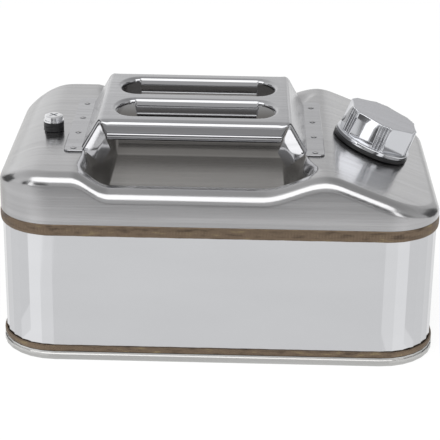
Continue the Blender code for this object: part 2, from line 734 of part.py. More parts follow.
def make_spot_welds(group, material):
    """Flat nuggets, pressed proud of the feet, in a row along each foot."""
    height = LEG_FOOT_TOP + GAP + SPOT_WELD_HEIGHT / 2
    for side, label, top_x in ((-1, "left", HANDLE_LEFT), (1, "right", HANDLE_RIGHT)):
        x = top_x + side * (LEG_SPREAD + FOOT_PAD_WIDTH / 2 - HANDLE_SHEET)
        for number in range(SPOT_WELD_COUNT):
            y = mix(FIRST_SPOT_WELD, LAST_SPOT_WELD, number / (SPOT_WELD_COUNT - 1))
            name = "spot_weld_%s_%d" % (label, number + 1)
            form = bmesh.new()
            bmesh.ops.create_cone(form, cap_ends=True, segments=NUGGET_STEPS, radius1=SPOT_WELD_RADIUS,
                                  radius2=SPOT_WELD_RADIUS - SPOT_WELD_HEIGHT, depth=SPOT_WELD_HEIGHT)
            nugget = add_object(name, mesh_from(name, form), group, material)
            nugget.location = (x, y, height)


# Filler neck and cap

def make_neck(group, axis, steel, weld, rubber):
    tube = [(NECK_BORE_RADIUS, NECK_HEIGHT), (NECK_RADIUS, NECK_HEIGHT),
            (NECK_RADIUS, -NECK_DEPTH), (NECK_BORE_RADIUS, -NECK_DEPTH)]
    turned("filler_neck", tube, group, steel, axis)
    under = -BODY_SHEET - GAP
    inner = NECK_RADIUS + GAP
    bead = [(inner, under), (inner + NECK_WELD_SIZE, under), (inner, under - NECK_WELD_SIZE)]
    turned("neck_weld", bead, group, weld, axis)
    ring = [(inner, GASKET_TOP), (GASKET_RADIUS - GASKET_EDGE, GASKET_TOP),
            (GASKET_RADIUS, GASKET_TOP - GASKET_EDGE), (GASKET_RADIUS, GAP + GASKET_EDGE),
            (GASKET_RADIUS - GASKET_EDGE, GAP), (inner, GAP)]
    turned("neck_gasket", ring, group, rubber, axis)


def make_cap(group, cutters, axis, chrome, plastic, rubber, steel):
    bore = INSERT_RADIUS + GAP
    roof = INSERT_TOP + GAP
    flange_top = CAP_BOTTOM + CAP_FLANGE_HEIGHT
    profile = [(0.0, CAP_TOP), (CAP_TOP_RADIUS - CAP_EDGE_RADIUS, CAP_TOP),
               (CAP_TOP_RADIUS, CAP_TOP - CAP_EDGE_RADIUS), (CAP_BODY_RADIUS, flange_top),
               (CAP_FLANGE_RADIUS - CAP_EDGE_RADIUS, flange_top),
               (CAP_FLANGE_RADIUS, flange_top - CAP_EDGE_RADIUS),
               (CAP_FLANGE_RADIUS, CAP_BOTTOM), (bore, CAP_BOTTOM), (bore, roof), (0.0, roof)]
    shell = turned("cap_shell", profile, group, chrome, axis, steps=CAP_SIDE_STEPS, closed=False)
    flute_bottom = flange_top + CAP_EDGE_RADIUS
    for number in range(CAP_FLUTES):
        angle = math.tau * number / CAP_FLUTES
        reach = CAP_BODY_RADIUS - CAP_FLUTE_DEPTH + CAP_FLUTE_RADIUS
        mesh = cylinder_mesh("flute", CAP_FLUTE_RADIUS, flute_bottom, CAP_TOP + CAP_EDGE_RADIUS, FLUTE_STEPS)
        mesh.transform(Matrix.Translation((reach * math.cos(angle), reach * math.sin(angle), 0.0)))
        boolean(shell, add_cutter("flute_%d" % (number + 1), mesh, cutters, axis))
    for number in range(CAP_FLUTES):
        angle = math.tau * (number + 0.5) / CAP_FLUTES
        mesh = cylinder_mesh("groove", CAP_RIB_GROOVE_RADIUS, flute_bottom, CAP_TOP + CAP_EDGE_RADIUS,
                             GROOVE_STEPS)
        mesh.transform(Matrix.Translation((CAP_BODY_RADIUS * math.cos(angle),
                                           CAP_BODY_RADIUS * math.sin(angle), 0.0)))
        boolean(shell, add_cutter("rib_groove_%d" % (number + 1), mesh, cutters, axis))
    cup = [(0.0, INSERT_TOP), (INSERT_RADIUS, INSERT_TOP), (INSERT_RADIUS, CAP_BOTTOM),
           (INSERT_BORE_RADIUS, CAP_BOTTOM), (INSERT_BORE_RADIUS, INSERT_ROOF_BOTTOM),
           (0.0, INSERT_ROOF_BOTTOM)]
    turned("cap_insert", cup, group, plastic, axis, closed=False)
    plate = [(0.0, PLATE_BOTTOM + PLATE_THICKNESS), (DISC_RADIUS, PLATE_BOTTOM + PLATE_THICKNESS),
             (DISC_RADIUS, PLATE_BOTTOM), (0.0, PLATE_BOTTOM)]
    turned("cap_pressure_plate", plate, group, steel, axis, closed=False)
    seal = [(0.0, SEAL_BOTTOM + SEAL_THICKNESS), (DISC_RADIUS, SEAL_BOTTOM + SEAL_THICKNESS),
            (DISC_RADIUS, SEAL_BOTTOM), (0.0, SEAL_BOTTOM)]
    turned("cap_seal_disc", seal, group, rubber, axis, closed=False)


# Vent

def make_vent(group, cutters, axis, steel, rubber):
    under = -BODY_SHEET - GAP - VENT_SEAT_CLEARANCE
    boss = [(VENT_BORE_RADIUS, BOSS_TOP), (VENT_BOSS_RADIUS, BOSS_TOP), (VENT_BOSS_RADIUS, under),
            (VENT_BOSS_FLANGE_RADIUS, under), (VENT_BOSS_FLANGE_RADIUS, under - VENT_BOSS_FLANGE),
            (VENT_BOSS_RADIUS, under - VENT_BOSS_FLANGE), (VENT_BOSS_RADIUS, -VENT_BOSS_DEPTH),
            (VENT_BORE_RADIUS, -VENT_BOSS_DEPTH)]
    turned("vent_boss", boss, group, steel, axis, steps=SMALL_ROUND_STEPS)
    inner = VENT_BOSS_RADIUS + GAP
    middle = (GAP + WASHER_TOP) / 2
    waist = VENT_WASHER_RADIUS - VENT_WASHER_GROOVE
    washer = [(inner, WASHER_TOP), (VENT_WASHER_RADIUS, WASHER_TOP),
              (VENT_WASHER_RADIUS, middle + VENT_WASHER_GROOVE), (waist, middle),
              (VENT_WASHER_RADIUS, middle - VENT_WASHER_GROOVE), (VENT_WASHER_RADIUS, GAP), (inner, GAP)]
    turned("vent_washer", washer, group, rubber, axis, steps=SMALL_ROUND_STEPS)
    head_top = HEAD_BOTTOM + VENT_HEAD_HEIGHT
    shank = VENT_BORE_RADIUS - GAP
    flange_top = HEAD_BOTTOM + VENT_FLANGE_HEIGHT
    screw_profile = [(0.0, head_top), (VENT_HEAD_RADIUS - VENT_HEAD_CHAMFER * 2, head_top),
                     (VENT_HEAD_RADIUS, head_top - VENT_HEAD_CHAMFER), (VENT_HEAD_RADIUS, flange_top),
                     (VENT_WASHER_RADIUS, flange_top), (VENT_WASHER_RADIUS, HEAD_BOTTOM),
                     (shank, HEAD_BOTTOM), (shank, -VENT_SCREW_DEPTH), (0.0, -VENT_SCREW_DEPTH)]
    screw = turned("vent_screw", screw_profile, group, steel, axis, steps=SMALL_ROUND_STEPS, closed=False)
    for turn, label in ((math.pi / 4, "a"), (-math.pi / 4, "b")):
        bar = box_form((VENT_CROSS_LENGTH, VENT_CROSS_WIDTH, VENT_CROSS_DEPTH * 2), (0.0, 0.0, head_top))
        mesh = mesh_from("cross", bar)
        mesh.transform(Matrix.Rotation(turn, 4, "Z"))
        boolean(screw, add_cutter("vent_cross_" + label, mesh, cutters, axis))


def make_axis(name, group, place, tilt):
    axis = bpy.data.objects.new(name, None)
    axis.location = place
    axis.rotation_euler = (0.0, tilt, 0.0)
    group.objects.link(axis)
    return axis


def cut_top_holes(shell, cutters, neck_axis, vent_axis):
    neck_hole = cylinder_mesh("neck_hole", NECK_RADIUS + GAP, -NECK_DEPTH, NECK_DEPTH, ROUND_STEPS)
    boolean(shell, add_cutter("neck_hole", neck_hole, cutters, neck_axis))
    vent_hole = cylinder_mesh("vent_hole", VENT_BOSS_RADIUS + GAP, -VENT_BOSS_DEPTH, VENT_BOSS_DEPTH,
                              SMALL_ROUND_STEPS)
    boolean(shell, add_cutter("vent_hole", vent_hole, cutters, vent_axis))


def build():
    clear_scene()
    parts = make_collection("fuel_can")
    cutters = make_collection("cutters")
    polished = make_material("polished_stainless", *POLISHED_STAINLESS)
    brushed = make_material("brushed_stainless", *BRUSHED_STAINLESS)
    weld = make_material("heat_tinted_weld", *HEAT_TINTED_WELD)
    chrome = make_material("chromed_metal", *CHROMED_METAL)
    rubber = make_material("black_rubber", *BLACK_RUBBER)
    plastic = make_material("black_plastic", *BLACK_PLASTIC)

    make_body_wall(parts, polished)
    make_butt_weld(parts, weld)
    make_foot_rim(parts, brushed)
    make_base_pan(parts, brushed)
    outline_ring("lower_seam_weld", seam_sections(LOWER_SEAM_BOTTOM, LOWER_SEAM_HEIGHT), parts, weld)
    outline_ring("upper_seam_weld", seam_sections(UPPER_SEAM_BOTTOM, UPPER_SEAM_HEIGHT), parts, weld)

    neck_axis = make_axis("neck_axis", parts, (NECK_X, 0.0, crown_height(NECK_X)), SLOPE_ANGLE)
    vent_slope = (crown_height(VENT_X) - crown_height(VENT_X + SLOPE_PROBE)) / SLOPE_PROBE
    vent_axis = make_axis("vent_axis", parts, (VENT_X, VENT_Y, crown_height(VENT_X)), math.atan(vent_slope))
    shell = make_top_shell(parts, brushed)
    cut_top_holes(shell, cutters, neck_axis, vent_axis)
    make_handle(parts, cutters, brushed)
    make_spot_welds(parts, weld)
    make_neck(parts, neck_axis, brushed, weld, rubber)
    make_cap(parts, cutters, neck_axis, chrome, plastic, rubber, brushed)
    make_vent(parts, cutters, vent_axis, polished, rubber)


build()
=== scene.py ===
"""Looks of the stainless steel fuel can: finishes, fine forms, stage, light and camera.

Units are metres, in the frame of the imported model: +X to the filler, +Y to the back, +Z up.
"""

import math

import bmesh
import bpy
from mathutils import Matrix, Vector


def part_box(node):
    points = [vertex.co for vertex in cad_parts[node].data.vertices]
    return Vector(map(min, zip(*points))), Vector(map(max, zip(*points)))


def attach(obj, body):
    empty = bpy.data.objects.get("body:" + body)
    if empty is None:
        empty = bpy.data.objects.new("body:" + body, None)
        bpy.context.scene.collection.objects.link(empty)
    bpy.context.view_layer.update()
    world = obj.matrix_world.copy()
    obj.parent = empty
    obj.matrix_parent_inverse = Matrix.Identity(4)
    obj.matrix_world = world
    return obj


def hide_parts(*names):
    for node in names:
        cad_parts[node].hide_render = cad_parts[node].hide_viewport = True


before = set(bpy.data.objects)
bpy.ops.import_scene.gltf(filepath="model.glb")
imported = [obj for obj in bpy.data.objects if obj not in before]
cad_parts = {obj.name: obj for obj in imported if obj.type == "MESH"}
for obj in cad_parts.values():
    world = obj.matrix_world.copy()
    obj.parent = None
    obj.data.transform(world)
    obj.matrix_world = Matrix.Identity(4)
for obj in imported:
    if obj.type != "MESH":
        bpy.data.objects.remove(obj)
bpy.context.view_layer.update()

# Camera, fitted to the photograph
CAMERA_PLACE = Vector((0.01968, -1.23165, 0.58596))
CAMERA_YAW = -0.0167
CAMERA_PITCH = 0.394
CAMERA_ROLL = 0.0147
CAMERA_LENS = 128.68
SENSOR_WIDTH = 36.0
CAMERA_CLIP = 0.01

# Stage and light; the world's reaches are parts of a direction's length along one axis
FLOOR_SIZE = 12.0
FLOOR_WHITE = 0.92
FLOOR_LIFT = 0.78
FLOOR_GLOW = 1.08
WORLD_HORIZON = 0.99
WORLD_ZENITH = 0.72
WORLD_RISE = (0.30, 0.80)
WORLD_LEFT = 1.06
WORLD_RIGHT = 0.72
WORLD_ACROSS = (-0.25, 0.25)
WORLD_FRONT = 0.14
WORLD_FRONT_REACH = (-0.75, -0.25)
WORLD_FRONT_RISE = (0.25, 0.50)
CARD_AIM = Vector((0.0, 0.0, 0.15))
FRONT_FLAG_PLACE = (0.0, -1.17, 0.004)
FRONT_FLAG_SIZE = (1.40, 1.40)
FRONT_GREY = 0.37
SIDE_GREY = 0.12
FAN_REACH = (0.045, 0.330)
FAN_STEPS = 12

# Fans on the floor: name, side of the can, start and end angle from the front, height, glow
FANS = (("left_fan", -1, (6.0, 58.0), 0.003, 1.16), ("left_fan_core", -1, (19.0, 48.0), 0.004, 1.32),
        ("right_fan", 1, (10.0, 52.0), 0.003, 1.15), ("right_fan_core", 1, (18.0, 43.0), 0.004, 1.24))

# Cards turned to the can: name, place, size, glow of a softbox, and whether dull surfaces see them too
SOFTBOXES = (("key_softbox", (-0.10, -1.05, 1.20), (2.60, 1.02), 2.6, True),
             ("front_softbox", (0.0, -1.80, 0.45), (1.0, 1.0), 0.70, False),
             ("back_softbox", (0.52, 1.40, 0.47), (0.46, 0.34), 1.00, False),
             ("side_softbox_1", (-0.635, -0.60, 0.20), (0.13, 0.34), 2.2, False),
             ("side_softbox_2", (0.50, -0.67, 0.20), (0.20, 0.34), 2.2, False))
DARK_FLAGS = (("streak_flag", (-1.03, -0.60, 0.20), (0.24, 0.50), True),
              ("left_flag", (-0.85, 0.38, 0.24), (0.60, 0.40), False),
              ("right_flag", (0.85, 0.38, 0.24), (0.60, 0.40), False))

# Can, as in the CAD: outline, seams and pressed top
GAP = 0.0003
SHEET = 0.0010
BODY_LENGTH = 0.3450
BODY_DEPTH = 0.2350
BODY_CORNER_RADIUS = 0.0430
LOWER_SEAM = (0.0074, 0.0122)
UPPER_SEAM = (0.1070, 0.1162)
SEAM_THICKNESS = 0.0012
SKIRT_BOTTOM = 0.1165
PLATEAU_HEIGHT = 0.1570
SHOULDER_RADIUS = 0.0105
SKIRT_LEAST = 0.0020
SLOPE_ANGLE = math.radians(21.5)
SLOPE_START = 0.0880
SLOPE_BLEND = 0.0160
END_ROUND_START = -0.1380
END_ROUND_RADIUS = 0.0400
LIP_DROP = 0.0130
DISH_DROP = 0.0450
DISH_LEFT = -0.1100
DISH_RIGHT = 0.0700
DISH_WALL = 0.0190
DISH_FLAT_HALF_DEPTH = 0.0500
DISH_RUN_OUT = 0.1065
DISH_RAMP_ROUND = 0.2200
LIP_LEFT = -0.1140
LIP_LEFT_WALL = 0.0300
LIP_RIGHT = 0.0840
LIP_RIGHT_WALL = 0.0520
LIP_FLARE_START = 0.0640
LIP_WALL_START = 0.0840
SLOPE_PROBE = 0.0003

# Handle, as in the CAD: a folded sheet on two feet; a pad's edge is (inset, height)
HANDLE_SHEET = 0.0012
HANDLE_TOP = 0.1830
HANDLE_LEFT = -0.0967
HANDLE_RIGHT = 0.0545
HANDLE_HALF_DEPTH = 0.0640
TOP_EDGE_RADIUS = 0.0052
LEG_EDGE_RADIUS = 0.0035
HANDLE_FLANGE = 0.0160
HANDLE_FLANGE_MITRE = 0.0069
REAR_FLANGE_DROP = 0.0035
REAR_FLANGE_STEP = 0.0030
LEG_FLANGE = 0.0203
LEG_FLANGE_MITRE = 0.0164
LEG_FLANGE_LEAN = 0.2000
LEG_SPREAD = 0.0140
LEG_BEND_RADIUS = 0.0030
LEG_LIP = 0.0038
TOP_LIP = 0.0055
FOOT_PAD_WIDTH = 0.0150
FOOT_PAD_OVERHANG = 0.0020
FOOT_PAD_CORNER = 0.0050
PAD_EDGE = ((0.0, 0.0), (0.0, 0.0008), (0.00012, 0.0010), (0.0004, 0.0012))
SLOT_FROM_BEND = 0.0121
SLOT_CENTRE = 0.0285
SLOT_HALF_WIDTH = 0.0205
SLOT_END = 0.0130
SLOT_CURL_RADIUS = 0.0038
SLOT_LIP_STRAIGHT = 0.0007
SLOT_FLAP_DEPTH = 0.0152
SLOT_FLAP_CORNER = 0.0015

# Handle, finer than the CAD: folds are (run, degrees), and hem lines (share of the depth, ridge)
BLADE_FOLDS = ((0.0, 0.0), (0.0036, 60.0), (0.0050, 68.0), (0.0140, 72.0), (0.0155, 92.0), (0.0220, 97.0))
FLAP_FOLDS = ((0.0, 0.0), (0.0028, 60.0), (0.0042, 68.0), (0.0076, 74.0), (0.0084, 91.0), (0.0138, 94.0),
              (0.0141, 60.0), (0.0148, 60.0), (0.0151, 100.0), (0.0200, 96.0))
FOLD_STEPS = 200
FLAP_STEPS = 44
FOLD_SPARE = 1.3
ROLL_SHARE = 0.92
EDGE_STEP = 0.00003
BLADE_STEPS = 5
HEM_LINES = ((0.46, 0.0), (0.49, -0.0005), (0.52, 0.0), (0.58, 0.0003), (0.64, 0.0), (0.67, -0.0005),
             (0.70, 0.0), (0.79, 0.0003), (0.86, 0.0), (0.89, -0.0004), (0.92, 0.0001), (1.00, -0.0002))
BEND_LIP = 0.0026
ROLL_STEPS = 10
BEND_STEPS = 8
SLOT_END_STEPS = 28

# Filler and vent, as radii and heights above the seat; a flute's frame is (place, half width, depth)
NECK_X = 0.1225
NECK_RADIUS = 0.0210
NECK_HOLE_REACH = 0.0080
CAP_BOTTOM = 0.0040
CAP_FLANGE_RADIUS = 0.0322
CAP_FLANGE_TOP = 0.0074
CAP_BODY_RADIUS = 0.0308
CAP_TOP_RADIUS = 0.0303
CAP_TOP = 0.0290
CAP_ROOF = 0.0275
CAP_BORE = 0.0237
CAP_EDGE = 0.0008
CAP_RIM_INSET = 0.00176
CAP_CENTRE = 0.0015
CAP_SOFT = 0.0002
CAP_FOOT_SOFT = 0.0003
CAP_SIDE_STEPS = 4
CAP_FLUTES = 6
CAP_FLUTE_DEPTH = 0.0028
CAP_FLUTE_RADIUS = 0.1000
CAP_FLUTE_FOOT = 0.0082
CAP_GROOVE = 0.0011
CAP_FRAME = (0.0029, 0.0010, 0.0007)
INSERT_BORE_RADIUS = 0.0216
VENT_PLACE = Vector((-0.1380, -0.0135, 0.1570))
VENT_SHANK_RADIUS = 0.0039
VENT_HOLE_RADIUS = 0.0063
VENT_HOLE_REACH = 0.0090

# Threads: (start, end), form as (pitch, height, width), sunk share of the height, steps of fading out
NECK_THREAD = (0.0075, 0.0195)
INSERT_THREAD = (0.0055, 0.0175)
VENT_THREAD = (-0.0065, 0.0066)
FILLER_THREAD_FORM = (0.0040, 0.0005, 0.0016)
VENT_THREAD_FORM = (0.00125, 0.0002, 0.0008)
THREAD_SUNK = 0.2
THREAD_FADE = 24

# Fineness of the pieces made here
CORNER_STEPS = 20
SHOULDER_STEPS = 14
DISH_WALL_STEPS = 22
FLOOR_STEPS = 14
RAMP_STEPS = 18
SLOPE_BLEND_STEPS = 10
SLOPE_STEPS = 10
END_ROUND_STEPS = 10
PLATEAU_STEPS = 4
CAP_STEPS = 960
ROUND_STEPS = 96
ROUNDING_STEPS = 5

# Welds: a seam's section is (outset from its face, share of the half height, share of the ripple),
# a wander is (share, frequency, shift of the seed), and a spot's ring is (radius, rise, squash)
RIPPLE_PITCH = 0.0024
RIPPLE_HEIGHT = 0.00016
SEAM_STEP = 0.0008
SEAM_WANDER = 0.00012
SEAM_SECTION = ((-0.0006, 1.0, 0.0), (-0.0002, 0.9, 0.0), (0.0, 0.45, 1.0), (0.0, 0.0, 1.4),
                (0.0, -0.45, 1.0), (-0.0002, -0.9, 0.0), (-0.0006, -1.0, 0.0))
BUTT_WELD_HALF = 0.0015
BUTT_WELD_RISE = 0.0007
BUTT_WELD_WANDER = 0.00015
BUTT_WELD_RIPPLE = 0.6
BUTT_WELD_STEPS = 8
LOW_EDGE_SEED = 3.0
WANDERS = ((0.5, 190.0, 1.0), (0.3, 431.0, 2.0), (0.2, 977.0, 0.0))
SPOT_RINGS = ((0.0024, 0.0, 1.0), (0.0023, 0.00012, 1.0), (0.0020, 0.00018, 1.0),
              (0.0016, 0.00012, 0.45), (0.0014, 0.00010, 0.35))

# Finishes: linear colours
MIRROR_COLOUR = (0.530, 0.534, 0.548)
TOP_COLOUR = (0.410, 0.409, 0.414)
# Painted shade: the dish's darker colour stands in for the shade and dark reflections in the recess under
# the handle
DISH_SHADE_COLOUR = (0.215, 0.207, 0.198)
HANDLE_COLOUR = (0.415, 0.416, 0.428)
MARK_COLOUR = (0.120, 0.105, 0.095)
RIM_COLOUR = (0.430, 0.428, 0.420)
CHROME_COLOUR = (0.560, 0.568, 0.592)
SCREW_COLOUR = (0.740, 0.745, 0.760)
DISC_COLOUR = (0.295, 0.298, 0.319)
WELD_DARK = (0.085, 0.062, 0.045)
WELD_BROWN = (0.165, 0.122, 0.086)
WELD_GOLD = (0.260, 0.205, 0.120)
RUBBER_COLOUR = (0.005, 0.005, 0.006)
PLASTIC_COLOUR = (0.030, 0.030, 0.032)
WELD_STOPS = ((0.30, WELD_DARK), (0.48, WELD_BROWN), (0.58, WELD_BROWN), (0.72, WELD_GOLD))

# Finishes: roughness, shares of a colour or of a roughness, and noise with its frequencies per metre
NOISE_LOW = 0.30
NOISE_HIGH = 0.70
FINE_DETAIL = 4.0
MATT = 0.90
MIRROR_ROUGH = 0.05
CHROME_ROUGH = 0.06
SCREW_ROUGH = 0.17
SMEAR = (9.0, 9.0, 30.0)
SMEAR_REACH = (0.35, 0.65)
SMEAR_TINTS = (0.985, 1.012)
SMEAR_ROUGH = (0.7, 1.5)
WAVES = (11.0, 11.0, 7.0)
WAVE_BUMP = (0.12, 0.0012)
TOP_ROUGH = 0.19
HANDLE_ROUGH = 0.20
HANDLE_POLISH = 0.07
RIM_ROUGH = 0.28
DISC_ROUGH = 0.16
DISC_DEPTH = 0.06
MARK_ROUGH = 0.45
BRUSH_FINE = (14.0, 1500.0)
BRUSH_BROAD = (5.0, 260.0)
BRUSH_TINTS = (0.93, 1.06)
BRUSH_ROUGH = (-0.05, 0.07)
BRUSH_DEPTH = 0.18
BRUSH_HEIGHT = 0.0002
BUFFED_FACING = (0.12, 0.45)
BUFFED_ROUGH = (0.7, 1.4)
WELD_METALLIC = 0.85
WELD_ROUGH = (0.34, 0.55)
WELD_RUNS = (75.0, 75.0, 330.0)
WELD_GRAIN = (420.0, 420.0, 900.0)
WELD_BUMP = (0.35, 0.0004)
RUBBER_ROUGH = (0.30, 0.50)
RUBBER_GRAIN = (1400.0, 0.20)
PLASTIC_ROUGH = (0.36, 0.50)
PLASTIC_GRAIN = (900.0, 0.15)
GRAIN_HEIGHT = 0.0001

# Where the dish's painted shade fades out, as (start, end): upwards, to the right, and to front and back
DISH_SHADE_BELOW = (0.136, 0.152)
DISH_SHADE_LEFT_OF = (0.060, 0.082)
DISH_SHADE_HALF_DEPTH = (0.088, 0.104)

# Meshes: edges that turn further than this stay sharp, and corners nearer than this are one
SHARP_ANGLE = math.radians(30.0)
MERGE_DISTANCE = 0.00002


def add_camera():
    """A camera at the photograph's viewing angle, rolled by the photograph's slight tilt."""
    data = bpy.data.cameras.new("photo_camera")
    data.sensor_fit = "HORIZONTAL"
    data.sensor_width = SENSOR_WIDTH
    data.lens = CAMERA_LENS
    data.clip_start = CAMERA_CLIP
    camera = bpy.data.objects.new("photo_camera", data)
    bpy.context.scene.collection.objects.link(camera)
    turn = Matrix.Rotation(-CAMERA_YAW, 4, "Z")
    turn @= Matrix.Rotation(math.pi / 2 - CAMERA_PITCH, 4, "X")
    turn @= Matrix.Rotation(CAMERA_ROLL, 4, "Z")
    camera.matrix_world = Matrix.Translation(CAMERA_PLACE) @ turn
    bpy.context.scene.camera = camera


def mesh_piece(name, form, material):
    """A mesh object from a bmesh."""
    mesh = bpy.data.meshes.new(name)
    form.to_mesh(mesh)
    form.free()
    mesh.materials.append(material)
    piece = bpy.data.objects.new(name, mesh)
    bpy.context.scene.collection.objects.link(piece)
    return piece


def finish_piece(piece, body, nodes):
    """Shades a piece smooth with sharp edges kept, hangs it on its body, and hides the CAD nodes it stands
    for.
    """
    piece.data.shade_smooth()
    piece.data.set_sharp_from_angle(angle=SHARP_ANGLE)
    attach(piece, body)
    if nodes:
        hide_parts(*nodes)


# Node helpers

def feed(tree, node, values):
    """Links results to a node's inputs, or sets them to plain values, by name or number."""
    for name, value in values.items():
        socket = node.inputs[name]
        if isinstance(value, bpy.types.NodeSocket):
            tree.links.new(value, socket)
        else:
            socket.default_value = value


def start_material(name, colour, roughness, metallic):
    """A material with plain values, its node tree and its shader."""
    material = bpy.data.materials.new(name)
    material.use_nodes = True
    tree = material.node_tree
    shader = tree.nodes["Principled BSDF"]
    feed(tree, shader, {"Base Color": (*colour, 1.0), "Roughness": roughness, "Metallic": metallic})
    return material, tree, shader


def calculate(tree, operation, *values):
    """The result of a Math node."""
    node = tree.nodes.new("ShaderNodeMath")
    node.operation = operation
    feed(tree, node, dict(enumerate(values)))
    return node.outputs["Value"]


def coordinate(tree, vector, axis):
    """One coordinate of a vector."""
    split = tree.nodes.new("ShaderNodeSeparateXYZ")
    feed(tree, split, {"Vector": vector})
    return split.outputs[axis]


def map_range(tree, value, low, high, start=NOISE_LOW, end=NOISE_HIGH, step="LINEAR"):
    """Low up to start, high from end on, and a ramp between them."""
    node = tree.nodes.new("ShaderNodeMapRange")
    node.interpolation_type = step
    feed(tree, node, {"Value": value, "From Min": start, "From Max": end, "To Min": low, "To Max": high})
    return node.outputs["Result"]


def blend_values(tree, share, first, second):
    """The first value where the share is 0, and the second where it is 1."""
    mixer = tree.nodes.new("ShaderNodeMix")
    mixer.data_type = "FLOAT"
    feed(tree, mixer, {"Factor": share, "A": first, "B": second})
    return mixer.outputs["Result"]


def stretched_noise(tree, stretch, detail=2.0):
    """Noise in the piece's own coordinates, with a frequency per metre along each axis."""
    place = tree.nodes.new("ShaderNodeTexCoord").outputs["Object"]
    scale = tree.nodes.new("ShaderNodeMapping")
    feed(tree, scale, {"Vector": place, "Scale": stretch})
    noise = tree.nodes.new("ShaderNodeTexNoise")
    feed(tree, noise, {"Vector": scale.outputs["Vector"], "Scale": 1.0, "Detail": detail})
    return noise.outputs["Fac"]


def brush_lines(tree, level, along, across):
    """Noise drawn out along the can, level on walls, with frequencies along and across its lines."""
    return blend_values(tree, level, stretched_noise(tree, (along, along, across)),
                        stretched_noise(tree, (along, across, along)))


def colour_ramp(tree, value, stops):
    """A colour for each (position, colour) stop of a value."""
    ramp = tree.nodes.new("ShaderNodeValToRGB")
    points = ramp.color_ramp.elements
    while len(points) < len(stops):
        points.new(0.5)
    for point, (position, colour) in zip(points, stops):
        point.position = position
        point.color = (*colour, 1.0)
    feed(tree, ramp, {"Fac": value})
    return ramp.outputs["Color"]


def tinted(tree, value, colour, tints, start=NOISE_LOW, end=NOISE_HIGH):
    """A colour that goes from a darker to a lighter tint of itself with a value."""
    dark, light = (tuple(channel * share for channel in colour) for share in tints)
    return colour_ramp(tree, value, [(start, dark), (end, light)])


def bump(tree, shader, height, strength, distance):
    """Shades a surface as if a value raised it by a distance."""
    node = tree.nodes.new("ShaderNodeBump")
    feed(tree, node, {"Height": height, "Strength": strength, "Distance": distance})
    feed(tree, shader, {"Normal": node.outputs["Normal"]})


def facing_share(tree, axis, start=0.0, end=1.0):
    """How much a surface faces along an axis, either way: 0 up to start, 1 from end on."""
    normal = tree.nodes.new("ShaderNodeNewGeometry").outputs["Normal"]
    share = calculate(tree, "ABSOLUTE", coordinate(tree, normal, axis))
    return map_range(tree, share, 0.0, 1.0, start, end)


# Finishes

def brushed_steel(name, colour, roughness, depth=BRUSH_DEPTH, polish=None):
    """Satin sheet: brush lines along the can, level on the walls, with faint broad streaks.

    Given a polish, faces folded to front or back are buffed to that roughness, and keep no lines.
    """
    material, tree, shader = start_material(name, colour, roughness, 1.0)
    level = facing_share(tree, "Z")
    fine = brush_lines(tree, level, *BRUSH_FINE)
    broad = brush_lines(tree, level, *BRUSH_BROAD)
    rough = map_range(tree, fine, *(roughness + change for change in BRUSH_ROUGH))
    if polish:
        buffed = facing_share(tree, "Y", *BUFFED_FACING)
        polished = map_range(tree, broad, *(polish * share for share in BUFFED_ROUGH))
        rough = blend_values(tree, buffed, rough, polished)
        fine = calculate(tree, "MULTIPLY", fine, map_range(tree, buffed, 1.0, 0.0, 0.0, 1.0))
    feed(tree, shader, {"Base Color": tinted(tree, broad, colour, BRUSH_TINTS), "Roughness": rough})
    bump(tree, shader, fine, depth, BRUSH_HEIGHT)
    return material


def paint_dish_shade(material):
    """Paints shade into the dish: a darker colour in the recess under the handle stands in for its shade
    and dark reflections.
    """
    tree = material.node_tree
    shader = tree.nodes["Principled BSDF"]
    place = tree.nodes.new("ShaderNodeTexCoord").outputs["Object"]
    depth = calculate(tree, "ABSOLUTE", coordinate(tree, place, "Y"))
    limits = ((coordinate(tree, place, "Z"), DISH_SHADE_BELOW), (coordinate(tree, place, "X"), DISH_SHADE_LEFT_OF),
              (depth, DISH_SHADE_HALF_DEPTH))
    share = 1.0
    for value, reach in limits:
        share = calculate(tree, "MULTIPLY", map_range(tree, value, 1.0, 0.0, *reach, "SMOOTHSTEP"), share)
    mixer = tree.nodes.new("ShaderNodeMix")
    mixer.data_type = "RGBA"
    brushed = shader.inputs["Base Color"].links[0].from_socket
    feed(tree, mixer, {"Factor": share, "A": brushed, "B": (*DISH_SHADE_COLOUR, 1.0)})
    feed(tree, shader, {"Base Color": mixer.outputs["Result"]})


def mirror_steel(name, colour, roughness):
    """Polished sheet: a clear reflection that the sheet's slight waves bend, with faint wipe marks."""
    material, tree, shader = start_material(name, colour, roughness, 1.0)
    smear = stretched_noise(tree, SMEAR, FINE_DETAIL)
    tint = tinted(tree, smear, colour, SMEAR_TINTS, *SMEAR_REACH)
    rough = map_range(tree, smear, *(roughness * share for share in SMEAR_ROUGH))
    feed(tree, shader, {"Base Color": tint, "Roughness": rough})
    bump(tree, shader, stretched_noise(tree, WAVES, detail=1.0), *WAVE_BUMP)
    return material


def heat_tinted_weld(name):
    """Ground weld: brown and straw heat colours in runs along the seam, over fine ripples."""
    material, tree, shader = start_material(name, WELD_BROWN, WELD_ROUGH[0], WELD_METALLIC)
    runs = stretched_noise(tree, WELD_RUNS, FINE_DETAIL)
    feed(tree, shader, {"Base Color": colour_ramp(tree, runs, WELD_STOPS),
                        "Roughness": map_range(tree, runs, *WELD_ROUGH)})
    bump(tree, shader, stretched_noise(tree, WELD_GRAIN), *WELD_BUMP)
    return material


def moulded(name, colour, roughness, frequency, strength):
    """Rubber or plastic with a fine even grain, given the range of its roughness."""
    material, tree, shader = start_material(name, colour, roughness[0], 0.0)
    grain = stretched_noise(tree, (frequency,) * 3)
    feed(tree, shader, {"Roughness": map_range(tree, grain, *roughness)})
    bump(tree, shader, grain, strength, GRAIN_HEIGHT)
    return material


def dress_node(node, material):
    """Gives a CAD node its finish; a modifier joins the corners of its facets."""
    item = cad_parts[node]
    item.data.materials.clear()
    item.data.materials.append(material)
    join = item.modifiers.new("join", "WELD")
    join.merge_threshold = MERGE_DISTANCE


# Stage

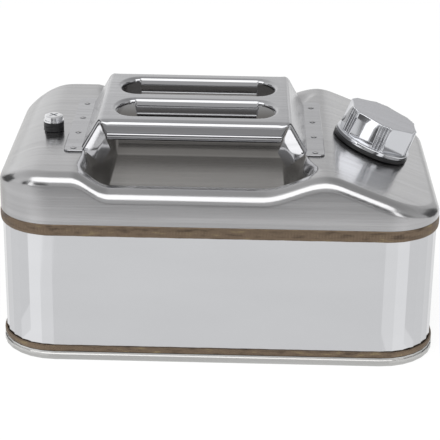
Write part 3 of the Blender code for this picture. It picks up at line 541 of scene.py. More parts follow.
def add_world():
    """A soft dome: dimmer overhead and to the right, and dark low in front."""
    world = bpy.data.worlds.new("studio")
    bpy.context.scene.world = world
    world.use_nodes = True
    tree = world.node_tree
    way = tree.nodes.new("ShaderNodeTexCoord").outputs["Generated"]
    across, ahead, up = (coordinate(tree, way, axis) for axis in "XYZ")
    height = map_range(tree, up, WORLD_HORIZON, WORLD_ZENITH, *WORLD_RISE)
    sides = map_range(tree, across, WORLD_LEFT, WORLD_RIGHT, *WORLD_ACROSS)
    dome = calculate(tree, "MULTIPLY", height, sides)
    front = map_range(tree, ahead, 1.0, 0.0, *WORLD_FRONT_REACH)
    low = map_range(tree, up, 1.0, 0.0, *WORLD_FRONT_RISE)
    shade = blend_values(tree, calculate(tree, "MULTIPLY", front, low), dome, WORLD_FRONT)
    feed(tree, tree.nodes["Background"], {"Color": shade})


def rectangle(place, size):
    """A flat sheet at a place."""
    form = bmesh.new()
    scale = Matrix.Diagonal((size[0] / 2, size[1] / 2, 1.0, 1.0))
    bmesh.ops.create_grid(form, x_segments=1, y_segments=1, size=1.0, matrix=place @ scale)
    return form


def sector(side, angles, height):
    """A flat piece of a ring, round the middle of a front corner of the can."""
    form = bmesh.new()
    bmesh.ops.create_grid(form, x_segments=FAN_STEPS, y_segments=1, size=0.5)
    for vert in form.verts:
        angle = math.radians(mix(*angles, vert.co.x + 0.5))
        reach = mix(*FAN_REACH, vert.co.y + 0.5)
        vert.co = Vector((side * (BODY_LENGTH / 2 - BODY_CORNER_RADIUS + reach * math.sin(angle)),
                          BODY_CORNER_RADIUS - BODY_DEPTH / 2 - reach * math.cos(angle), height))
    return form


def facing_rectangle(place, size):
    """A flat sheet at a place, turned towards the point that the cards are aimed at."""
    turn = (Vector(place) - CARD_AIM).to_track_quat("Z", "Y")
    return rectangle(Matrix.Translation(place) @ turn.to_matrix().to_4x4(), size)


def add_floor():
    """A white floor that keeps the shadow, lifted towards white for what sees it directly or mirrored."""
    material, tree, shader = start_material("floor", (FLOOR_WHITE,) * 3, MATT, 0.0)
    feed(tree, shader, {"Specular IOR Level": 0.0})
    path = tree.nodes.new("ShaderNodeLightPath").outputs
    seen = calculate(tree, "MAXIMUM", path["Is Camera Ray"], path["Is Glossy Ray"])
    glow = tree.nodes.new("ShaderNodeEmission")
    feed(tree, glow, {"Strength": FLOOR_GLOW})
    mixer = tree.nodes.new("ShaderNodeMixShader")
    feed(tree, mixer, {"Fac": calculate(tree, "MULTIPLY", seen, FLOOR_LIFT),
                       1: shader.outputs["BSDF"], 2: glow.outputs["Emission"]})
    feed(tree, tree.nodes["Material Output"], {"Surface": mixer.outputs["Shader"]})
    mesh_piece("floor", rectangle(Matrix(), (FLOOR_SIZE, FLOOR_SIZE)), material)


def add_card(name, form, material, dull_too):
    """A card that the camera doesn't see, and dull surfaces only where asked."""
    card = mesh_piece(name, form, material)
    card.visible_camera = False
    card.visible_shadow = False
    card.visible_diffuse = dull_too


def add_softbox(name, form, strength, dull_too):
    """A glowing card."""
    glow, tree, shader = start_material(name, (0.0, 0.0, 0.0), 1.0, 0.0)
    feed(tree, shader, {"Emission Color": (1.0, 1.0, 1.0, 1.0), "Emission Strength": strength})
    add_card(name, form, glow, dull_too)


def add_flags():
    """Grey and dark cards that the metal mirrors as its darker bands."""
    grey, _, _ = start_material("front_flag", (FRONT_GREY,) * 3, MATT, 0.0)
    dark, _, _ = start_material("side_flag", (SIDE_GREY,) * 3, MATT, 0.0)
    form = rectangle(Matrix.Translation(FRONT_FLAG_PLACE), FRONT_FLAG_SIZE)
    add_card("front_flag", form, grey, dull_too=False)
    for name, place, size, dull_too in DARK_FLAGS:
        add_card(name, facing_rectangle(place, size), dark, dull_too)


def add_softboxes():
    """Softboxes round the can, and fans on the floor that its front corners mirror as upright stripes."""
    for name, place, size, strength, dull_too in SOFTBOXES:
        add_softbox(name, facing_rectangle(place, size), strength, dull_too)
    for name, side, angles, height, strength in FANS:
        add_softbox(name, sector(side, angles, height), strength, dull_too=False)


# Shapes worked out as in the CAD, with finer steps

def smoothstep(value):
    """Half a cosine wave from 0 to 1."""
    value = min(max(value, 0.0), 1.0)
    return 0.5 - 0.5 * math.cos(math.pi * value)


def ramp(value, rounding):
    """A straight rise from 0 to 1 whose two ends are rounded over a share of its run."""
    value = min(max(value, 0.0), 1.0)
    rise = 1.0 / (1.0 - rounding)
    if value > 0.5:
        return 1.0 - ramp(1.0 - value, rounding)
    if value < rounding:
        return rise * value * value / (2 * rounding)
    return rise * (value - rounding / 2)


def mix(start, end, share):
    """A value that is a share of the way from start to end."""
    return start + (end - start) * share


def direction(angle):
    """A level unit vector, at an angle from +X towards +Y."""
    return Vector((math.cos(angle), math.sin(angle), 0.0))


def quarter_turn(count):
    """Angles from 0 to 90 degrees in equal steps."""
    return [math.pi / 2 * step / count for step in range(count + 1)]


def spread(start, end, count):
    """Equal steps from start up to, and without, end."""
    return [mix(start, end, step / count) for step in range(count)]


def crown_height(x):
    """Height of the top before the dish is pressed: rounded left end, plateau, filler's slope."""
    run = x - (SLOPE_START - SLOPE_BLEND / 2)
    if run <= 0.0:
        fall = 0.0
    elif run < SLOPE_BLEND:
        fall = run * run / (2 * SLOPE_BLEND)
    else:
        fall = run - SLOPE_BLEND / 2
    end_run = max(END_ROUND_START - x, 0.0)
    return PLATEAU_HEIGHT - math.tan(SLOPE_ANGLE) * fall - end_run * end_run / (2 * END_ROUND_RADIUS)


def dish_edges(y):
    """Where the dish's left and right walls start and end, at one depth of the can."""
    flare = smoothstep((abs(y) - LIP_FLARE_START) / (DISH_RUN_OUT - LIP_FLARE_START))
    widen = smoothstep((abs(y) - LIP_WALL_START) / (DISH_RUN_OUT - LIP_WALL_START))
    left = mix(DISH_LEFT, LIP_LEFT, flare)
    right = mix(DISH_RIGHT, LIP_RIGHT, flare)
    return (left, left + mix(DISH_WALL, LIP_LEFT_WALL, widen),
            right - mix(DISH_WALL, LIP_RIGHT_WALL, widen), right)


def top_height(x, y):
    """Height of the pressed top's upper face at one place."""
    outer_left, inner_left, inner_right, outer_right = dish_edges(y)
    if x < inner_left:
        sunk = smoothstep((x - outer_left) / (inner_left - outer_left))
    elif x > inner_right:
        sunk = smoothstep((outer_right - x) / (outer_right - inner_right))
    else:
        sunk = 1.0
    share = ramp((abs(y) - DISH_FLAT_HALF_DEPTH) / (DISH_RUN_OUT - DISH_FLAT_HALF_DEPTH), DISH_RAMP_ROUND)
    return crown_height(x) - mix(DISH_DROP, LIP_DROP, share) * sunk


def top_columns(y, edge):
    """X of each line of the top's mesh at one depth; the lines follow the dish's walls."""
    outer_left, inner_left, inner_right, outer_right = dish_edges(y)
    blend_end = SLOPE_START + SLOPE_BLEND / 2
    round_start = max(END_ROUND_START, (outer_left - edge) / 2)
    ends = (-edge, round_start, outer_left, inner_left, inner_right, outer_right, blend_end, edge)
    counts = (END_ROUND_STEPS, PLATEAU_STEPS, DISH_WALL_STEPS, FLOOR_STEPS, DISH_WALL_STEPS,
              SLOPE_BLEND_STEPS, SLOPE_STEPS)
    columns = []
    for start, end, count in zip(ends, ends[1:], counts):
        columns += spread(start, end, count)
    return columns + [edge]


def top_rows():
    """Depths of the mesh's rows, with each row's half length and outward direction."""
    offset = GAP + SHEET - SHOULDER_RADIUS
    radius = BODY_CORNER_RADIUS + offset
    straight = BODY_DEPTH / 2 + offset - radius
    half_length = BODY_LENGTH / 2 + offset
    plain = spread(0.0, DISH_FLAT_HALF_DEPTH, FLOOR_STEPS)
    plain += spread(DISH_FLAT_HALF_DEPTH, straight, RAMP_STEPS)
    rows = [(y, half_length, 0.0) for y in plain]
    for angle in quarter_turn(CORNER_STEPS):
        rows.append((straight + radius * math.sin(angle),
                     half_length - radius + radius * math.cos(angle), angle))
    front = [(-y, edge, -angle) for y, edge, angle in rows[:0:-1]]
    return front + rows


def shoulder_point(place, way, share):
    """How far out and down the shoulder is, after a share of its turn from the top to the skirt."""
    probe = place + way * SLOPE_PROBE
    slope = (top_height(place.x, place.y) - top_height(probe.x, probe.y)) / SLOPE_PROBE
    start = math.atan(max(slope, 0.0))
    angle = mix(start, math.pi / 2, share)
    height = min(SHOULDER_RADIUS, place.z - SKIRT_BOTTOM - SKIRT_LEAST)
    out = SHOULDER_RADIUS * (math.sin(angle) - math.sin(start)) / (1 - math.sin(start))
    fall = height * (math.cos(start) - math.cos(angle)) / math.cos(start)
    return out, fall


def bake(piece):
    """Turns a piece's modifiers into its mesh."""
    graph = bpy.context.evaluated_depsgraph_get()
    mesh = bpy.data.meshes.new_from_object(piece.evaluated_get(graph))
    piece.modifiers.clear()
    piece.data = mesh


def thicken(piece, thickness):
    """Makes an open form a sheet, whose outer face stays where the form is."""
    sheet = piece.modifiers.new("sheet", "SOLIDIFY")
    sheet.thickness = thickness
    sheet.offset = -1.0


def combine(piece, form, operation):
    """Adds a closed form to a piece or cuts it out; a SHEET is an open form, thickened and then added."""
    mesh = bpy.data.meshes.new("tool")
    form.to_mesh(mesh)
    form.free()
    tool = bpy.data.objects.new("tool", mesh)
    bpy.context.scene.collection.objects.link(tool)
    if operation == "SHEET":
        thicken(tool, HANDLE_SHEET)
        bake(tool)
        operation = "UNION"
    cut = piece.modifiers.new("combine", "BOOLEAN")
    cut.operation = operation
    cut.object = tool
    bake(piece)
    bpy.data.objects.remove(tool)


def cut_round_hole(piece, place, radius, reach):
    """Drills a round hole through a piece, as far as its reach both ways along the Z axis of a place."""
    form = bmesh.new()
    bmesh.ops.create_cone(form, cap_ends=True, segments=ROUND_STEPS, radius1=radius, radius2=radius,
                          depth=reach * 2, matrix=place)
    combine(piece, form, "DIFFERENCE")


def join_loops(form, upper, lower):
    """Faces between two closed loops of as many vertices."""
    for index in range(len(upper)):
        follow = (index + 1) % len(upper)
        form.faces.new((upper[index], lower[index], lower[follow], upper[follow]))


def make_top(material):
    """The pressed top: a grid over the plan, rolled over at the edge and run down as a skirt."""
    rows = top_rows()
    form = bmesh.new()
    grid = [[form.verts.new((x, y, top_height(x, y))) for x in top_columns(y, edge)]
            for y, edge, _ in rows]
    for lower, upper in zip(grid, grid[1:]):
        for index in range(len(lower) - 1):
            form.faces.new((lower[index], lower[index + 1], upper[index + 1], upper[index]))
    sides = [(line, angle) for line, (_, _, angle) in zip(grid, rows)][1:-1]
    border = [(vert, direction(-math.pi / 2)) for vert in grid[0]]
    border += [(line[-1], direction(angle)) for line, angle in sides]
    border += [(vert, direction(math.pi / 2)) for vert in reversed(grid[-1])]
    border += [(line[0], direction(math.pi - angle)) for line, angle in reversed(sides)]
    inner = [vert for vert, _ in border]
    for step in range(1, SHOULDER_STEPS + 2):
        ring = []
        for vert, way in border:
            out, fall = shoulder_point(vert.co, way, min(step / SHOULDER_STEPS, 1.0))
            place = vert.co + way * out
            height = vert.co.z - fall if step <= SHOULDER_STEPS else SKIRT_BOTTOM
            ring.append(form.verts.new((place.x, place.y, height)))
        join_loops(form, inner, ring)
        inner = ring
    bmesh.ops.recalc_face_normals(form, faces=form.faces)
    top = mesh_piece("pressed_top", form, material)
    thicken(top, SHEET)
    cut_round_hole(top, cap_place(), NECK_RADIUS + GAP, NECK_HOLE_REACH)
    cut_round_hole(top, Matrix.Translation(VENT_PLACE), VENT_HOLE_RADIUS, VENT_HOLE_REACH)
    finish_piece(top, "can", ("top_shell",))


def loop_surface(loops, ends):
    """A surface through closed loops of as many points each, with FILLED, OPEN or JOINED ends."""
    form = bmesh.new()
    rings = [[form.verts.new(point) for point in loop] for loop in loops]
    for upper, lower in zip(rings, rings[1:]):
        join_loops(form, upper, lower)
    if ends == "JOINED":
        join_loops(form, rings[-1], rings[0])
    if ends == "FILLED":
        form.faces.new(rings[0])
        form.faces.new(reversed(rings[-1]))
    bmesh.ops.recalc_face_normals(form, faces=form.faces)
    return form


def outline_points():
    """The can's plan outline in steps of nearly SEAM_STEP: (place, way out, distance run)."""
    centre_x = BODY_LENGTH / 2 - BODY_CORNER_RADIUS
    centre_y = BODY_DEPTH / 2 - BODY_CORNER_RADIUS
    arc = math.pi / 2 * BODY_CORNER_RADIUS
    sides = ((1, 1, centre_x * 2), (-1, 1, centre_y * 2), (-1, -1, centre_x * 2), (1, -1, centre_y * 2))
    points = []
    run = 0.0
    for corner, (side_x, side_y, straight) in enumerate(sides):
        middle = Vector((side_x * centre_x, side_y * centre_y, 0.0))
        steps = round(arc / SEAM_STEP)
        for step in range(steps):
            way = direction(math.pi / 2 * (corner + step / steps))
            points.append((middle + way * BODY_CORNER_RADIUS, way, run + arc * step / steps))
        run += arc
        way = direction(math.pi / 2 * (corner + 1))
        along = Vector((-way.y, way.x, 0.0))
        steps = round(straight / SEAM_STEP)
        for step in range(steps):
            place = middle + way * BODY_CORNER_RADIUS + along * straight * step / steps
            points.append((place, way, run + straight * step / steps))
        run += straight
    return points


def weave(run, seed):
    """A slow, irregular wander between -1 and 1, for hand-made edges."""
    return sum(share * math.sin(run * frequency + seed * shift) for share, frequency, shift in WANDERS)


def make_seam(name, node, bottom, top, material, seed):
    """A rolled seam weld: a flat band with ripples along it and edges that wander."""
    loops = []
    middle = (bottom + top) / 2
    half = (top - bottom) / 2
    for place, way, run in outline_points():
        ripple = RIPPLE_HEIGHT * math.cos(math.tau * run / RIPPLE_PITCH)
        high = half + SEAM_WANDER * weave(run, seed)
        low = half + SEAM_WANDER * weave(run, seed + LOW_EDGE_SEED)
        section = [(GAP, high)]
        for outset, share, rough in SEAM_SECTION:
            out = GAP + SEAM_THICKNESS + outset + ripple * rough
            section.append((out, share * (high if share > 0 else low)))
        section.append((GAP, -low))
        loops.append([place + way * out + Vector((0.0, 0.0, middle + rise)) for out, rise in section])
    finish_piece(mesh_piece(name, loop_surface(loops, "JOINED"), material), "can", (node,))


def make_butt_weld(material):
    """The upright weld on the back, with ripples up its length."""
    loops = []
    bottom = LOWER_SEAM[1] + GAP
    top = UPPER_SEAM[0] - GAP
    steps = round((top - bottom) / SEAM_STEP)
    for step in range(steps + 1):
        height = mix(bottom, top, step / steps)
        half = BUTT_WELD_HALF + BUTT_WELD_WANDER * weave(height, seed=1.0)
        ripple = RIPPLE_HEIGHT * BUTT_WELD_RIPPLE * math.cos(math.tau * height / RIPPLE_PITCH)
        rise = BUTT_WELD_RISE + ripple
        face = BODY_DEPTH / 2 + GAP
        arc = [math.pi * part / BUTT_WELD_STEPS for part in range(BUTT_WELD_STEPS + 1)]
        loops.append([Vector((half * math.cos(a), face + rise * math.sin(a), height)) for a in arc])
    form = loop_surface(loops, "FILLED")
    finish_piece(mesh_piece("butt_weld_bead", form, material), "can", ("wall_butt_weld",))


# Filler

def cap_place():
    """The neck's axis: its origin is the seat on the slope."""
    return Matrix.Translation((NECK_X, 0.0, crown_height(NECK_X))) @ Matrix.Rotation(SLOPE_ANGLE, 4, "Y")


def flute_radius(angle, radius):
    """How far out the cap's fluted side is at one angle, in a round of the given radius."""
    turn = math.tau / CAP_FLUTES
    off = (angle + turn / 2) % turn - turn / 2
    reach = CAP_BODY_RADIUS - CAP_FLUTE_DEPTH + CAP_FLUTE_RADIUS
    inside = CAP_FLUTE_RADIUS ** 2 - (reach * math.sin(off)) ** 2
    if inside > 0.0:
        radius = min(radius, reach * math.cos(off) - math.sqrt(inside))
    rib = (turn / 2 - abs(off)) * CAP_BODY_RADIUS
    if rib < CAP_GROOVE:
        radius -= math.sqrt(CAP_GROOVE ** 2 - rib ** 2)
    place, half_width, depth = CAP_FRAME
    off_groove = abs(rib - place) / half_width
    if off_groove < 1.0:
        radius -= depth * math.sqrt(1.0 - off_groove ** 2)
    return radius


def make_cap(chrome, disc):
    """The fluted cap: round flange, six shallow flutes between grooved ribs, softened top edge."""
    angles = [math.tau * step / CAP_STEPS for step in range(CAP_STEPS)]
    loops = []

    def round_loop(radius, height):
        loops.append([direction(angle) * radius + Vector((0.0, 0.0, height)) for angle in angles])

    def fluted_loop(radius, height, inset=0.0):
        loops.append([direction(angle) * (flute_radius(angle, radius) - inset) + Vector((0.0, 0.0, height))
                      for angle in angles])

    round_loop(CAP_CENTRE, CAP_TOP)
    fluted_loop(CAP_TOP_RADIUS, CAP_TOP, CAP_RIM_INSET)
    for turn in quarter_turn(ROUNDING_STEPS):
        fluted_loop(CAP_TOP_RADIUS, CAP_TOP - CAP_EDGE * (1 - math.cos(turn)),
                    CAP_EDGE * (1 - math.sin(turn)))
    for step in range(1, CAP_SIDE_STEPS + 1):
        share = step / CAP_SIDE_STEPS
        height = mix(CAP_TOP - CAP_EDGE, CAP_FLUTE_FOOT, share)
        fluted_loop(mix(CAP_TOP_RADIUS, CAP_BODY_RADIUS, share), height)
    round_loop(CAP_BODY_RADIUS, CAP_FLUTE_FOOT - CAP_SOFT)
    round_loop(CAP_BODY_RADIUS, CAP_FLANGE_TOP + CAP_SOFT)
    round_loop(CAP_BODY_RADIUS + CAP_SOFT, CAP_FLANGE_TOP)
    for turn in quarter_turn(ROUNDING_STEPS):
        round_loop(CAP_FLANGE_RADIUS - CAP_EDGE * (1 - math.sin(turn)),
                   CAP_FLANGE_TOP - CAP_EDGE * (1 - math.cos(turn)))
    round_loop(CAP_FLANGE_RADIUS, CAP_BOTTOM + CAP_FOOT_SOFT)
    round_loop(CAP_FLANGE_RADIUS - CAP_FOOT_SOFT, CAP_BOTTOM)
    round_loop(CAP_BORE, CAP_BOTTOM)
    round_loop(CAP_BORE, CAP_ROOF)
    form = loop_surface(loops, "FILLED")
    for face in form.faces:
        centre = face.calc_center_median()
        if centre.z > CAP_TOP - MERGE_DISTANCE / 2 and math.hypot(centre.x, centre.y) < CAP_TOP_RADIUS:
            face.material_index = 1
    form.transform(cap_place())
    cap = mesh_piece("fluted_cap", form, chrome)
    cap.data.materials.append(disc)
    finish_piece(cap, "filler_cap", ("cap_shell",))


def make_thread(name, body, material, place, radius, outward, reach, thread):
    """A thread ridge: a small trapezoid wound round a cylinder, tapering to nothing at both ends."""
    pitch, height, width = thread
    turns = (reach[1] - reach[0]) / pitch
    steps = round(turns * ROUND_STEPS)
    loops = []
    for step in range(steps + 1):
        angle = math.tau * turns * step / steps
        level = mix(*reach, step / steps)
        taper = min(1.0, step / THREAD_FADE, (steps - step) / THREAD_FADE)
        crest = radius + outward * height * taper
        root = radius - outward * height * THREAD_SUNK
        section = [(root, -width / 2), (crest, -width / 6), (crest, width / 6), (root, width / 2)]
        loops.append([Vector((out * math.cos(angle), out * math.sin(angle), level + rise))
                      for out, rise in section])
    form = loop_surface(loops, "FILLED")
    form.transform(place)
    finish_piece(mesh_piece(name, form, material), body, ())


def make_threads(steel, plastic, screw):
    """The threads of the neck, of the cap's insert and of the vent screw."""
    filler = cap_place()
    vent = Matrix.Translation(VENT_PLACE)
    make_thread("neck_thread", "can", steel, filler, NECK_RADIUS, 1,
                NECK_THREAD, FILLER_THREAD_FORM)
    make_thread("insert_thread", "filler_cap", plastic, filler, INSERT_BORE_RADIUS, -1,
                INSERT_THREAD, FILLER_THREAD_FORM)
    make_thread("vent_thread", "vent_plug", screw, vent, VENT_SHANK_RADIUS, 1,
                VENT_THREAD, VENT_THREAD_FORM)


# Handle

def leg_stations(side, top_x):
    """Stations up one leg and round its bend, as in the CAD but with a smooth bend.

    Each is (fold point, way the flange hangs, front flange's depth, rear one's, share of top against leg).
    """
    top = Vector((top_x, 0.0, HANDLE_TOP))
    foot = Vector((top_x + side * LEG_SPREAD, 0.0, PLATEAU_HEIGHT + GAP + HANDLE_SHEET))
    leg = (foot - top).normalized()
    level = Vector((-side, 0.0, 0.0))
    down = Vector((0.0, 0.0, -1.0))
    inward = Vector((leg.z * side, 0.0, -leg.x * side))
    low = foot - leg * HANDLE_SHEET
    high = top + leg * LEG_FLANGE_MITRE
    bend_in = top + leg * LEG_BEND_RADIUS
    stations = [(foot + leg * HANDLE_SHEET / 2, inward, LEG_LIP, LEG_LIP, 0.0)]
    runs = ((low, high, LEG_FLANGE_LEAN, LEG_FLANGE), (high, bend_in, 0.0, BEND_LIP))
    for start, end, lean, last_depth in runs:
        for share in spread(0.0, 1.0, BLADE_STEPS):
            depth = mix(LEG_FLANGE, last_depth, share)
            stations.append((start.lerp(end, share), inward + leg * lean * (1 - share), depth, depth, 0.0))
    for step in range(BEND_STEPS + 1):
        share = step / BEND_STEPS
        place = top + leg * LEG_BEND_RADIUS * (1 - share) ** 2 + level * LEG_BEND_RADIUS * share ** 2
        way = (inward * (1 - share) + down * share).normalized()
        stations.append((place, way, BEND_LIP, BEND_LIP, share))
    rear = HANDLE_FLANGE + REAR_FLANGE_DROP
    start = HANDLE_FLANGE_MITRE + REAR_FLANGE_STEP
    stations.append((top + level * HANDLE_FLANGE_MITRE, down, HANDLE_FLANGE, HANDLE_FLANGE, 1.0))
    stations.append((top + level * start, down, HANDLE_FLANGE, rear, 1.0))
    return stations


def folded_line(folds, length):
    """A line that turns as its folds say, each (run, angle); its points are (out, fall, angle)."""
    line = [(0.0, 0.0, math.radians(folds[0][1]))]
    step = length / FOLD_STEPS
    for number in range(FOLD_STEPS):
        run = (number + 0.5) * step
        for (start, low), (end, high) in zip(folds, folds[1:]):
            if start <= run:
                fold = math.radians(mix(low, high, min((run - start) / (end - start), 1.0)))
        out, fall, _ = line[-1]
        line.append((out + step * math.cos(fold), fall + step * math.sin(fold), fold))
    return line


def blade_profile(depth, count):
    """A leg's flange as (y, fall, fold angle), one form for the whole leg.

    Points past the depth stay almost at its edge, each a hair further on so that they stay apart.
    """
    line = folded_line(BLADE_FOLDS, LEG_FLANGE * FOLD_SPARE)
    reach = max(out for out, _, _ in line)
    whole = next(index for index, (_, fall, _) in enumerate(line) if fall >= LEG_FLANGE)
    last = next(index for index, (_, fall, _) in enumerate(line) if fall >= depth)
    points = []
    past = 0.0
    for step in range(count):
        index = round(whole * step / (count - 1))
        if index > last:
            past += EDGE_STEP
        out, fall, fold = line[min(index, last)]
        y = HANDLE_HALF_DEPTH + out - reach + past * math.cos(fold)
        points.append((y, fall + past * math.sin(fold), fold))
    return points


def rolled_profile(depth, radius):
    """A flange as (y, fall, fold angle): a quarter roll, and then straight down to its edge."""
    height = min(radius, depth * ROLL_SHARE)
    points = []
    for angle in quarter_turn(ROLL_STEPS):
        y = HANDLE_HALF_DEPTH - radius * (1 - math.sin(angle))
        points.append((y, height * (1 - math.cos(angle)), angle))
    for share, _ in HEM_LINES:
        points.append((HANDLE_HALF_DEPTH, mix(height, depth, share), math.pi / 2))
    return points


def handle_section(place, hanging, front_depth, rear_depth, top_share):
    """The folded sheet's closed section at one station; the hem's fine ridges are on its outer face."""
    outer = []
    inner = []
    for side, depth in ((-1, front_depth), (1, rear_depth)):
        plain = rolled_profile(depth, mix(LEG_EDGE_RADIUS, TOP_EDGE_RADIUS, top_share))
        opened = blade_profile(depth, len(plain))
        blade = 1 - smoothstep(top_share)
        hem = smoothstep((depth - TOP_LIP) / (HANDLE_FLANGE - TOP_LIP)) * top_share
        ridges = [0.0] * (ROLL_STEPS + 1) + [ridge * hem for _, ridge in HEM_LINES]
        faces = ([], [])
        for ours, theirs, ridge in zip(plain, opened, ridges):
            y, fall, fold = (mix(a, b, blade) for a, b in zip(ours, theirs))
            faces[0].append((y + ridge, fall))
            faces[1].append((y - HANDLE_SHEET * math.sin(fold), fall + HANDLE_SHEET * math.cos(fold)))
        for face, points in zip((outer, inner), faces):
            line = [place + Vector((0.0, side * y, 0.0)) + hanging * fall for y, fall in points]
            face.extend(line[::-1] if side < 0 else line)
    return outer + inner[::-1]


def slot_outline(centre_y, grow):
    """A long hole with half-elliptic ends, grown all round, as (x, y, whether a flap hangs there)."""
    middle = (HANDLE_LEFT + HANDLE_RIGHT) / 2
    straight = (HANDLE_RIGHT - HANDLE_LEFT) / 2 - SLOT_FROM_BEND - SLOT_END
    flap = straight - SLOT_FLAP_CORNER
    half_width = SLOT_HALF_WIDTH + grow
    points = []
    for side in (1, -1):
        for step in range(SLOT_END_STEPS + 1):
            angle = -math.pi / 2 + math.pi * step / SLOT_END_STEPS
            points.append((middle + side * (straight + (SLOT_END + grow) * math.cos(angle)),
                           centre_y + side * half_width * math.sin(angle), False))
        points.append((middle + side * flap, centre_y + side * half_width, True))
        points.append((middle - side * flap, centre_y + side * half_width, True))
    return points


def slot_lip_loops(centre_y):
    """Loops of the lip curled down round a slot, whose flaps curl more slowly and hang lower."""
    line = folded_line(FLAP_FOLDS, SLOT_FLAP_DEPTH * FOLD_SPARE)
    last = next(index for index, (_, fall, _) in enumerate(line) if fall >= SLOT_FLAP_DEPTH)
    reach = max(out for out, _, _ in line[:last + 1])
    outer = SLOT_CURL_RADIUS + HANDLE_SHEET
    loops = [[Vector((x, y, HANDLE_TOP)) for x, y, _ in slot_outline(centre_y, outer)]]
    for step in range(FLAP_STEPS + 1):
        share = step / FLAP_STEPS
        out, fall, _ = line[round(last * share)]
        turn = math.pi / 2 * min(share * 2, 1.0)
        lip_fall = SLOT_CURL_RADIUS * (1 - math.cos(turn)) + max(share - 0.5, 0.0) * 2 * SLOT_LIP_STRAIGHT
        curled = slot_outline(centre_y, SLOT_CURL_RADIUS * (1 - math.sin(turn)))
        hanging = slot_outline(centre_y, SLOT_CURL_RADIUS * (1 - out / reach))
        loops.append([Vector((x, far_y if flap else y, HANDLE_TOP - (fall if flap else lip_fall)))
                      for (x, y, flap), (_, far_y, _) in zip(curled, hanging)])
    return loops


def rounded_pad(side):
    """Loops of a flat foot with round outer corners and a softened top edge, from its underside up."""
    inner = (HANDLE_RIGHT if side > 0 else HANDLE_LEFT) + side * (LEG_SPREAD - HANDLE_SHEET)
    half_depth = HANDLE_HALF_DEPTH + FOOT_PAD_OVERHANG
    bottom = PLATEAU_HEIGHT + GAP
    loops = []
    for inset, height in PAD_EDGE:
        loop = [Vector((inner, -half_depth + inset, bottom + height))]
        for way_y in (-1, 1):
            for angle in quarter_turn(ROLL_STEPS)[::-way_y]:
                x = FOOT_PAD_WIDTH - FOOT_PAD_CORNER + (FOOT_PAD_CORNER - inset) * math.sin(angle)
                y = way_y * (half_depth - FOOT_PAD_CORNER + (FOOT_PAD_CORNER - inset) * math.cos(angle))
                loop.append(Vector((inner + side * x, y, bottom + height)))
        loop.append(Vector((inner, half_depth - inset, bottom + height)))
        loops.append(loop)
    return loops


def face_up(form, height):
    """Turns a surface's faces so that those at one height look up."""
    level = [face for face in form.faces if abs(face.calc_center_median().z - height) < MERGE_DISTANCE]
    if sum(face.normal.z for face in level) < 0.0:
        bmesh.ops.reverse_faces(form, faces=form.faces)


def make_handle(material):
    """The carrying handle: a folded sheet, two slots with curled flaps, and two feet."""
    stations = leg_stations(-1, HANDLE_LEFT) + leg_stations(1, HANDLE_RIGHT)[::-1]
    form = loop_surface([handle_section(*station) for station in stations], "FILLED")
    handle = mesh_piece("folded_handle", form, material)
    for side in (-1, 1):
        combine(handle, loop_surface(rounded_pad(side), "FILLED"), "UNION")
    for side in (-1, 1):
        rim = slot_outline(side * SLOT_CENTRE, SLOT_CURL_RADIUS)
        drill = [[Vector((x, y, HANDLE_TOP + reach)) for x, y, _ in rim]
                 for reach in (HANDLE_SHEET * 2, -HANDLE_SHEET * 2)]
        combine(handle, loop_surface(drill, "FILLED"), "DIFFERENCE")
        lip = loop_surface(slot_lip_loops(side * SLOT_CENTRE), "OPEN")
        face_up(lip, HANDLE_TOP)
        combine(handle, lip, "SHEET")
    finish_piece(handle, "can", ("handle",))


def spot_weld_nodes():
    """Names of the spot welds' CAD nodes."""
    return [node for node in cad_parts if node.startswith("spot_weld")]


def make_spot_marks(steel, mark):
    """Spot welds: shallow discs whose floors carry a short dark mark."""
    turns = [math.tau * step / ROUND_STEPS for step in range(ROUND_STEPS)]
    for node in spot_weld_nodes():
        low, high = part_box(node)
        middle = Vector(((low.x + high.x) / 2, (low.y + high.y) / 2, low.z))
        loops = []
        for radius, rise, squash in SPOT_RINGS:
            loops.append([middle + Vector((radius * math.cos(turn), radius * squash * math.sin(turn), rise))
                          for turn in turns])
        form = loop_surface(loops, "FILLED")
        for face in form.faces:
            if len(face.verts) > 4 and face.normal.z > 0.0:
                face.material_index = 1
        piece = mesh_piece(node + "_mark", form, steel)
        piece.data.materials.append(mark)
        finish_piece(piece, "can", (node,))


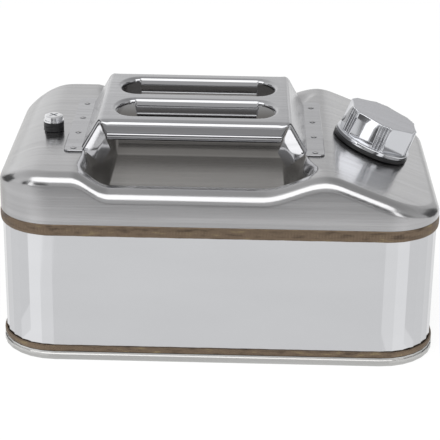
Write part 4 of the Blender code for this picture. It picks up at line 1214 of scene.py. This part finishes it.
def dress_can():
    """Finishes for the CAD nodes, and the finer pieces that stand for some of them."""
    mirror = mirror_steel("mirror_steel", MIRROR_COLOUR, MIRROR_ROUGH)
    top = brushed_steel("top_steel", TOP_COLOUR, TOP_ROUGH)
    # Paints shade into the dish under the handle
    paint_dish_shade(top)
    handle = brushed_steel("handle_steel", HANDLE_COLOUR, HANDLE_ROUGH, polish=HANDLE_POLISH)
    rim = brushed_steel("rim_steel", RIM_COLOUR, RIM_ROUGH)
    chrome = mirror_steel("chrome", CHROME_COLOUR, CHROME_ROUGH)
    disc = brushed_steel("cap_disc", DISC_COLOUR, DISC_ROUGH, DISC_DEPTH)
    screw = mirror_steel("screw_steel", SCREW_COLOUR, SCREW_ROUGH)
    weld = heat_tinted_weld("weld")
    black = moulded("rubber", RUBBER_COLOUR, RUBBER_ROUGH, *RUBBER_GRAIN)
    plastic = moulded("plastic", PLASTIC_COLOUR, PLASTIC_ROUGH, *PLASTIC_GRAIN)
    mark, _, _ = start_material("spot_mark", MARK_COLOUR, MARK_ROUGH, 1.0)
    finishes = (
        (mirror, "polished_steel", ("body_wall",)),
        (top, "brushed_steel", ("top_shell",)),
        (rim, "brushed_steel", ("foot_rim", "base_pan", "filler_neck", "vent_boss", "cap_pressure_plate")),
        (handle, "handle_steel", ("handle", *spot_weld_nodes())),
        (weld, "weld", ("lower_seam_weld", "upper_seam_weld", "wall_butt_weld", "neck_weld")),
        (black, "rubber", ("neck_gasket", "cap_seal_disc", "vent_washer")),
        (chrome, "chrome", ("cap_shell",)),
        (plastic, "plastic", ("cap_insert",)),
        (screw, "screw_steel", ("vent_screw",)),
    )
    for material, slot, nodes in finishes:
        for node in nodes:
            dress_node(node, material)
    make_top(top)
    make_seam("lower_seam_bead", "lower_seam_weld", *LOWER_SEAM, weld, seed=0.0)
    make_seam("upper_seam_bead", "upper_seam_weld", *UPPER_SEAM, weld, seed=2.0)
    make_butt_weld(weld)
    make_cap(chrome, disc)
    make_handle(handle)
    make_spot_marks(handle, mark)
    make_threads(rim, plastic, screw)


bpy.context.scene.view_settings.view_transform = "Standard"
add_camera()
add_world()
add_floor()
add_flags()
add_softboxes()
dress_can()
